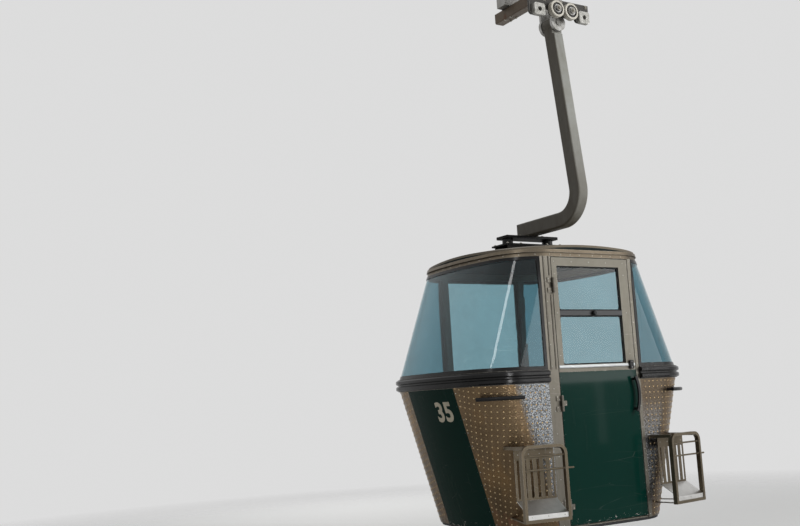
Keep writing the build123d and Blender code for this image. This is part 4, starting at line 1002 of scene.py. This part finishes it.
foot_run = [(x, y, arm_foot) for x, y in ((-0.045, -0.073), (-0.045, 0.070), (0.045, 0.070), (0.045, -0.073))]
weld("hanger_welds", [foot_run], "cabin", "hanger_paint")
grip_runs = [[(-0.042, y, BEAM_UNDER), (0.042, y, BEAM_UNDER)] for y in (-0.5215, -0.4185)]
LUG_X, LUG_Z, LUG_CUT = (0.162, 0.258), (-0.400, -0.326), 0.016      # a lug's sides, ends and cut corners
for side in (-1, 1):
    (inner, outer), (low, high) = LUG_X, LUG_Z
    lug = ((inner, low), (inner, high - LUG_CUT), (inner + LUG_CUT, high), (outer - LUG_CUT, high),
           (outer, high - LUG_CUT), (outer, low))
    grip_runs.append([(side * x, GRIP_FACE, z) for x, z in lug])
    grip_runs.append([(x, side * 0.050, -0.108) for x in (-0.042, 0.042)])
weld("grip_welds", grip_runs, "grip", "grip_steel", Step=0.004, Radius=0.0036)

# %% Welds and rivets of the ski racks
RACK_X, RACK_Y, RACK_TURN = -0.638, -0.800, radians(8.5)
BEAD_RING = [(0.0065 * cos(n * pi / 4), 0.0065 * sin(n * pi / 4)) for n in range(9)]


def on_rack(end, x, y, z):
    """Spot given in a rack's own axes; the front rack is the rear one's mirror image."""
    turned = RACK_X + x * cos(RACK_TURN) + y * sin(RACK_TURN)
    return Vector((-end * turned, RACK_Y - x * sin(RACK_TURN) + y * cos(RACK_TURN), BELT + z))


rack_runs, rack_spots = [], []
for end in (-1, 1):
    for height in (-0.520, -0.606):
        for x in (-0.148, 0.148):
            rack_runs.append([on_rack(end, x, 0.016 + y, height + z) for y, z in BEAD_RING])
    for x in (-0.136, 0.136):
        rack_runs.append([on_rack(end, x, 0.032, -0.458), on_rack(end, x, 0.032, -0.478)])
    toward = (on_rack(end, 0, -1, 0) - on_rack(end, 0, 0, 0)).normalized()
    rack_spots += [(on_rack(end, x, 0.135, -0.510), toward) for x in evenly(-0.12, 0.12, 0.08)]
    rack_spots += [(on_rack(end, x, 0.005, -0.893), toward) for x in evenly(-0.12, 0.12, 0.12)]
weld("rack_welds", rack_runs, "cabin", "rack_aluminium", Step=0.0034, Radius=0.0026)
fix("rack_rivets", dome_tree, rack_spots, "cabin", "rack_aluminium", rivet_metal, 0.0040, 0.0018)

# %% [markdown]
# ## Ribs of the floor mat
# The mat between the benches has round ribs that run along the cabin. A rib is a short curve with a
# round profile; the tree repeats it across the floor.


# %% Floor mat
def make_rib_tree():
    """Round bars side by side, half sunk into the floor; the guide is one point at the first bar."""
    tree, given, out = growing_tree("mat_ribs", [
        ("Length", 0.9), ("Pitch", 0.02), ("Count", 40), ("Radius", 0.003)])
    half = given["Length"] * 0.5
    line = wire(tree, "GeometryNodeCurvePrimitiveLine", {
        "Start": joined(tree, half * -1.0), "End": joined(tree, half)})
    circle = wire(tree, "GeometryNodeCurvePrimitiveCircle", {"Resolution": 8, "Radius": given["Radius"]})
    bar = wire(tree, "GeometryNodeCurveToMesh", {"Curve": line, "Profile Curve": circle, "Fill Caps": True})
    pitch = joined(tree, y=given["Pitch"])
    row = wire(tree, "GeometryNodeMeshLine", {"Count": given["Count"], "Offset": pitch}, mode="OFFSET")
    return end_tree(tree, given, out, set_on(tree, given["Guide"], set_on(tree, row, bar)))


mat_guide = spots_mesh("mat_guide", [(Vector((0, -0.490, WALL_FOOT + 0.0295)), up)])
grow("mat_ribs", make_rib_tree(), mat_guide, "cabin", "floor_mat", finishes["floor_mat"], Length=0.96,
     Pitch=0.0215, Count=49, Radius=0.0034)

# %% [markdown]
# ## Rubber round the door's panes
# Each pane sits in a black rubber section that shows as a thin dark line inside the frame. A closed
# curve with a round bevel gives that section, and a mesh of it is kept. Over the green panel a bright
# strip throws the rain off; its profile is drawn and pulled along X.


# %% Pane gaskets
RUBBER_RADIUS, PANE_CORNER, CORNER_STEPS = 0.0055, 0.022, 6
PANE_X = (-0.271 + PANE_CORNER, 0.292 - PANE_CORNER)       # where the rounded corners have their centres


def gasket(name, foot, top, y):
    """Closed rubber section round a pane with rounded corners."""
    (left, right), low, high = PANE_X, foot + PANE_CORNER, top - PANE_CORNER
    points = []
    for first, (cx, cz) in enumerate(((right, high), (left, high), (left, low), (right, low))):
        for step in range(CORNER_STEPS + 1):
            turn = (first + step / CORNER_STEPS) * pi / 2
            points.append((cx + PANE_CORNER * cos(turn), y, cz + PANE_CORNER * sin(turn), 1.0))
    curve = bpy.data.curves.new(name, "CURVE")
    curve.dimensions = "3D"
    curve.bevel_depth, curve.bevel_resolution = RUBBER_RADIUS, 2
    spline = curve.splines.new("POLY")
    spline.points.add(len(points) - 1)
    for point, place in zip(spline.points, points):
        point.co = place
    spline.use_cyclic_u = True
    carrier = bpy.data.objects.new(name + "_curve", curve)
    mesh = bpy.data.meshes.new_from_object(carrier)
    bpy.data.objects.remove(carrier)
    mesh.name = name
    mesh.shade_smooth()
    mesh.materials.clear()
    mesh.materials.append(finishes["rubber"])
    return place_piece(name, mesh, "door")


for label, foot, top in (("lower", 0.060, 0.389), ("upper", 0.431, 0.732)):
    for face, y in (("outer", -0.6175), ("inner", -0.6085)):
        gasket(f"{label}_pane_{face}_gasket", BELT + foot, BELT + top, y)
print("four gaskets, rubber radius", RUBBER_RADIUS)


# %% Drip strip
def bar_mesh(name, profile, x0, x1):
    """Closed bar with a drawn profile of (y, z) points, from x0 to x1."""
    shape = bmesh.new()
    first, last = ([shape.verts.new((x, y, z)) for y, z in profile] for x in (x0, x1))
    for n in range(len(profile)):
        m = (n + 1) % len(profile)
        shape.faces.new((first[n], first[m], last[m], last[n]))
    shape.faces.new(reversed(first))
    shape.faces.new(last)
    bmesh.ops.recalc_face_normals(shape, faces=shape.faces)
    mesh = bpy.data.meshes.new(name)
    shape.to_mesh(mesh)
    shape.free()
    return mesh


bright_strip = finish(
    "bright_strip", (0.36, 0.375, 0.375), 0.32, metal=1.0, drift=0.3, tint=(0.27, 0.28, 0.28), wear=0.3,
    edge=0.002, bare=(0.75, 0.75, 0.74), corner_shade=0.5, scratch=0.6, **DRAWN)
DRIP = ((0.6300, 0.0535), (0.6318, 0.0528), (0.6324, 0.0400), (0.6346, 0.0350), (0.6362, 0.0338),
        (0.6356, 0.0328), (0.6336, 0.0336), (0.6300, 0.0356))
drip = bar_mesh("door_drip_strip", [(-y, BELT + z) for y, z in DRIP], DOOR_X[0] + 0.004, DOOR_X[1] - 0.004)
drip.materials.append(bright_strip)
place_piece("door_drip_strip", drip, "door")
print("drip strip", len(drip.polygons), "faces")

# %% [markdown]
# ## Fleet number
# Cabins are numbered in cream paint on the green end panels, towards the door side. The digits start as
# a bold text, become a mesh, and each of its points is then moved onto the bowed, leaning panel.

# %% Fleet number
NUMBER, DIGIT_HEIGHT = "35", 0.138
TEXT_SIZE, BOLDER, FILM = 0.185, 0.0062, 0.0006        # digits as typed, and half the paint's thickness
NUMBER_Y, NUMBER_FOOT = -0.120, BELT - 0.284
number_paint = finish(
    "cream_number", (0.52, 0.485, 0.39), 0.42, drift=0.3, tint=(0.50, 0.45, 0.34), wear=0.5, edge=0.003,
    bare=(0.02, 0.06, 0.045), bare_metal=0.0, runs=0.4, corner_shade=0.4, runs_and_shade_tone=(0.10, 0.085, 0.06), scratch=0.3,
    grain_height=2e-5, specular=0.35)


def fleet_number(name, end):
    """Digits of thin paint film on one end panel."""
    writing = bpy.data.curves.new(name + "_text", "FONT")
    writing.body, writing.size, writing.offset = NUMBER, TEXT_SIZE, BOLDER
    writing.extrude, writing.space_character, writing.resolution_u = FILM, 1.06, 5
    carrier = bpy.data.objects.new(name + "_text", writing)
    mesh = bpy.data.meshes.new_from_object(carrier)
    bpy.data.objects.remove(carrier)
    mesh.name = name
    shape = bmesh.new()
    shape.from_mesh(mesh)
    bmesh.ops.remove_doubles(shape, verts=shape.verts, dist=0.00001)
    across = [vert.co.x for vert in shape.verts]
    tall = [vert.co.y for vert in shape.verts]
    middle, foot, scale = (min(across) + max(across)) / 2, min(tall), DIGIT_HEIGHT / (max(tall) - min(tall))
    for vert in shape.verts:
        y = NUMBER_Y + end * (vert.co.x - middle) * scale
        height = NUMBER_FOOT + (vert.co.y - foot) * scale
        vert.co = skin(LOWER, end, -1 if y < 0 else 1, across_at(abs(y)), height, vert.co.z + 0.0003)[0]
    bmesh.ops.recalc_face_normals(shape, faces=shape.faces)
    shape.to_mesh(mesh)
    shape.free()
    mesh.materials.clear()
    mesh.materials.append(number_paint)
    print(name, "width", round((max(across) - min(across)) * scale, 3))
    return place_piece(name, mesh, "cabin")


fleet_number("rear_number", -1)
fleet_number("front_number", 1)

# %% [markdown]
# ## Seats
# Each bench is a vinyl pad on a varnished board, under a padded back that leans with the end wall.
# The CAD model holds plain solids there. Cut in two at the board's height, the lower part of a bench
# is the board itself. The pads need a stuffed look, with full middles and pulled-in corners, and a
# cloth simulation with air pressure inside gives that. It starts from a smaller shape, because a pad
# swells, and the growth is limited softly so that the pad keeps to its place.


# %% Solids to start the seats from
BOARD_TOP = BELT - 0.597


def end_solid(node, end, cut=None, keep="above"):
    """One end's solid of a CAD node, its doubles merged, cut off at a height and closed again."""
    shape = bmesh.new()
    shape.from_mesh(nodes[node].data)
    bmesh.ops.remove_doubles(shape, verts=shape.verts, dist=0.00002)
    bmesh.ops.delete(shape, geom=[vert for vert in shape.verts if vert.co.x * end < 0], context="VERTS")
    if cut is not None:
        whole = shape.verts[:] + shape.edges[:] + shape.faces[:]
        sliced = bmesh.ops.bisect_plane(shape, geom=whole, plane_co=(0, 0, cut), plane_no=(0, 0, 1),
                                        clear_inner=keep == "above", clear_outer=keep == "below")
        rim = [item for item in sliced["geom_cut"] if isinstance(item, bmesh.types.BMEdge)]
        bmesh.ops.triangle_fill(shape, use_beauty=True, edges=rim)
    bmesh.ops.recalc_face_normals(shape, faces=shape.faces)
    return shape


def loose_object(name, shape):
    """Object with a shape's mesh, not yet a piece of the model."""
    mesh = bpy.data.meshes.new(name)
    shape.to_mesh(mesh)
    shape.free()
    thing = bpy.data.objects.new(name, mesh)
    scene.collection.objects.link(thing)
    return thing


# %% Bench boards
for label, end in (("rear", -1), ("front", 1)):
    shape = end_solid("seats", end, BOARD_TOP, "below")
    bmesh.ops.dissolve_limit(shape, angle_limit=0.01, verts=shape.verts, edges=shape.edges)
    carrier = loose_object(label + "_bench_board", shape)
    rounding = carrier.modifiers.new("rounding", "BEVEL")
    rounding.width, rounding.segments, rounding.limit_method, rounding.angle_limit = 0.004, 3, "ANGLE", 0.6
    board_mesh = applied(carrier)
    bpy.data.objects.remove(carrier)
    board_mesh.materials.append(finishes["bench_board"])
    board = place_piece(label + "_bench_board", board_mesh, "cabin")
    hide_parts("seats")
    print(board.name, len(board_mesh.polygons), "faces")


# %% Pads before they are stuffed
VOXEL, SHRINK = 0.008, 0.007


def slack_pad(name, shape):
    """Even small faces all over a solid, drawn in by SHRINK."""
    thing = loose_object(name, shape)
    voxels = thing.modifiers.new("voxels", "REMESH")
    voxels.mode, voxels.voxel_size = "VOXEL", VOXEL
    even = applied(thing)
    thing.modifiers.remove(voxels)
    inwards = [vert.normal * SHRINK for vert in even.vertices]
    for vert, step in zip(even.vertices, inwards):
        vert.co -= step
    thing.data = even
    return thing


pads = []
for label, end in (("rear", -1), ("front", 1)):
    pads.append((slack_pad(label + "_seat_pad", end_solid("seats", end, BOARD_TOP, "above")), "seats", end))
    pads.append((slack_pad(label + "_back_pad", end_solid("backrests", end)), "backrests", end))
print("pads:", [(pad.name, len(pad.data.vertices)) for pad, node, end in pads])


# %% Stuffing by cloth simulation
FRAMES, PRESSURE = 20, 4.0
INTO_ROOM, INTO_WALL = 0.016, 0.006


def stuff(things):
    """Blow the pads up a little, all in one run of the frames; returns their new points."""
    for thing in things:
        cloth = thing.modifiers.new("stuffing", "CLOTH")
        cloth.settings.use_pressure = True
        cloth.settings.uniform_pressure_force = PRESSURE
        cloth.settings.effector_weights.gravity = 0.0
        cloth.point_cache.frame_start, cloth.point_cache.frame_end = 1, FRAMES
    for number in range(1, FRAMES + 1):
        scene.frame_set(number)
    graph = bpy.context.evaluated_depsgraph_get()
    grown = [[vert.co.copy() for vert in thing.evaluated_get(graph).data.vertices] for thing in things]
    for thing in things:
        thing.modifiers.clear()
    scene.frame_set(1)
    return grown


for (pad, node, end), grown in zip(pads, stuff([pad for pad, node, end in pads])):
    furthest = 0
    for vert, place in zip(pad.data.vertices, grown):
        move = place - vert.co
        free = node == "backrests" and -end * vert.normal.x > 0.5
        limit = INTO_ROOM if free else INTO_WALL
        vert.co += move * (limit / (move.length_squared + limit * limit) ** 0.5)
        furthest = max(furthest, move.length)
    print(pad.name, "wanted to grow by", round(furthest, 4))


# %% Sewn channels and the finished pads
CHANNEL_PITCH, CHANNEL_DEPTH, CHANNEL_WIDTH, BORDER = 0.12, 0.0055, 0.0065, 0.045
for pad, node, end in pads:
    smooth = pad.modifiers.new("smooth", "SUBSURF")
    smooth.levels = smooth.render_levels = 1
    fine = applied(pad)
    pad.modifiers.clear()
    across = 0 if node == "seats" else 2
    reach = [vert.co[across] for vert in fine.vertices]
    low, high = min(reach), max(reach)
    steps = []
    for vert in fine.vertices:
        shown = vert.normal.z if node == "seats" else -end * vert.normal.x
        off_line = abs((vert.co.y / CHANNEL_PITCH + 0.5) % 1.0 - 0.5) * CHANNEL_PITCH
        off_edge = min(vert.co[across] - low, high - vert.co[across])
        fade = min(1.0, max(0.0, off_edge / BORDER - 0.3)) * min(1.0, max(0.0, shown - 0.3) * 2.5)
        steps.append(vert.normal * (CHANNEL_DEPTH * fade * exp(-(off_line / CHANNEL_WIDTH) ** 2)))
    for vert, step in zip(fine.vertices, steps):
        vert.co -= step
    fine.shade_smooth()
    fine.materials.clear()
    fine.materials.append(finishes["seat_vinyl"])
    pad.data = fine
    fine.name = pad.name
    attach(pad, "cabin")
    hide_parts(node)
    print(pad.name, len(fine.polygons), "faces")

# %% [markdown]
# ## Floor and light
# The cabin hangs over a pale floor that fades into a pale background, so no horizon cuts the picture.
# A large soft lamp stands high on the door side, toward the front; weaker ones fill the rear end, the
# top and the far side. Polished metal and glass show what they mirror more than what lights them: one
# broad lamp may show in them, and four narrow strips exist only to be mirrored. The world is dimmer
# for the object than it looks to the camera.

# %% Floor
FLOOR_Z, FLOOR_R, PALE = cad_low.z - 0.42, 11.0, (0.62, 0.62, 0.61, 1.0)

ground = bpy.data.meshes.new("studio_floor")
shape = bmesh.new()
bmesh.ops.create_circle(shape, cap_ends=True, radius=FLOOR_R, segments=96)
shape.to_mesh(ground)
shape.free()
studio_floor = bpy.data.objects.new("studio_floor", ground)
studio_floor.location.z = FLOOR_Z
scene.collection.objects.link(studio_floor)
floor_look, tree, shader = new_material("studio_floor")
reach = vectors(tree, "LENGTH", stretched(tree, 1, 1, 0))["Value"]
hidden = remapped(tree, reach, 3.2, FLOOR_R * 0.9).at_least(wire(tree, "ShaderNodeNewGeometry")["Backfacing"])
fill(tree, shader, {"Base Color": PALE, "Roughness": 0.7})
clear = wire(tree, "ShaderNodeBsdfTransparent")
fill(tree, tree.nodes["Material Output"], {
    "Surface": wire(tree, "ShaderNodeMixShader", {0: hidden, 1: Flow(tree, shader), 2: clear})})
ground.materials.append(floor_look)
print("floor at", round(FLOOR_Z, 3))

# %% World
WORLD_LIGHT, WORLD_SEEN = 0.15, 0.72           # strength as a light, and as the camera and mirrors see it

world = bpy.data.worlds.new("studio")
scene.world = world
world.use_nodes = True
tree = world.node_tree
rays = wire(tree, "ShaderNodeLightPath")
shown = rays["Is Camera Ray"].at_least(rays["Is Glossy Ray"].at_least(rays["Is Transmission Ray"]))
fill(tree, tree.nodes["Background"], {
    "Color": (1.0, 1.0, 1.0, 1.0), "Strength": remapped(tree, shown, 0, 1, WORLD_LIGHT, WORLD_SEEN)})
print("world", WORLD_LIGHT, "as a light,", WORLD_SEEN, "as seen")


# %% Lamps
def lamp(name, place, aim, wide, power, colour=(1.0, 1.0, 1.0), mirrored=False, tall=None):
    """Soft lamp that faces a point. Only a mirrored one shows in gloss; one that is tall is a strip
    that lights nothing else."""
    light = bpy.data.lights.new(name, "AREA")
    light.shape, light.size, light.size_y = "RECTANGLE", wide, tall or wide
    light.energy, light.color = power, colour
    thing = bpy.data.objects.new(name, light)
    thing.location = place
    thing.rotation_euler = (Vector(aim) - Vector(place)).to_track_quat("-Z", "Y").to_euler()
    thing.visible_glossy = mirrored
    thing.visible_transmission = thing.visible_camera = False
    thing.visible_diffuse = tall is None
    scene.collection.objects.link(thing)


MIDDLE = (0, 0, BELT - 0.1)
lamp("door_side_light", (3.2, -7.2, BELT + 3.6), MIDDLE, 4.0, 590, (0.97, 0.985, 1.0))
lamp("broad_sheen", (5.1, -6.2, BELT + 2.53), (0.0, -0.6, BELT + 2.53), 5.0, 150, mirrored=True)
lamp("rear_light", (-8.0, -2.0, BELT + 2.2), MIDDLE, 4.0, 38, (1.0, 0.94, 0.86))
lamp("top_light", (0.5, -0.5, BELT + 7.0), MIDDLE, 4.0, 150)
lamp("far_side_light", (2.5, 7.5, BELT + 2.4), MIDDLE, 4.0, 260)
lamp("corner_streak", (-3.7, -3.65, BELT + 3.3), (-0.9, -0.6, BELT + 0.5), 0.60, 24, mirrored=True, tall=1.5)
lamp("bumper_glint", (-0.5, -6.0, BELT + 0.10), (-0.5, -0.6, BELT - 0.03), 0.7, 26, mirrored=True, tall=0.5)
lamp("door_band", (4.9, -6.2, BELT + 0.10), (0.0, -0.63, BELT), 1.3, 7.0, mirrored=True, tall=0.16)
lamp("door_line", (5.1, -6.2, BELT - 0.40), (0.0, -0.63, BELT - 0.3), 0.12, 0.8, mirrored=True, tall=0.9)
print("nine lamps")
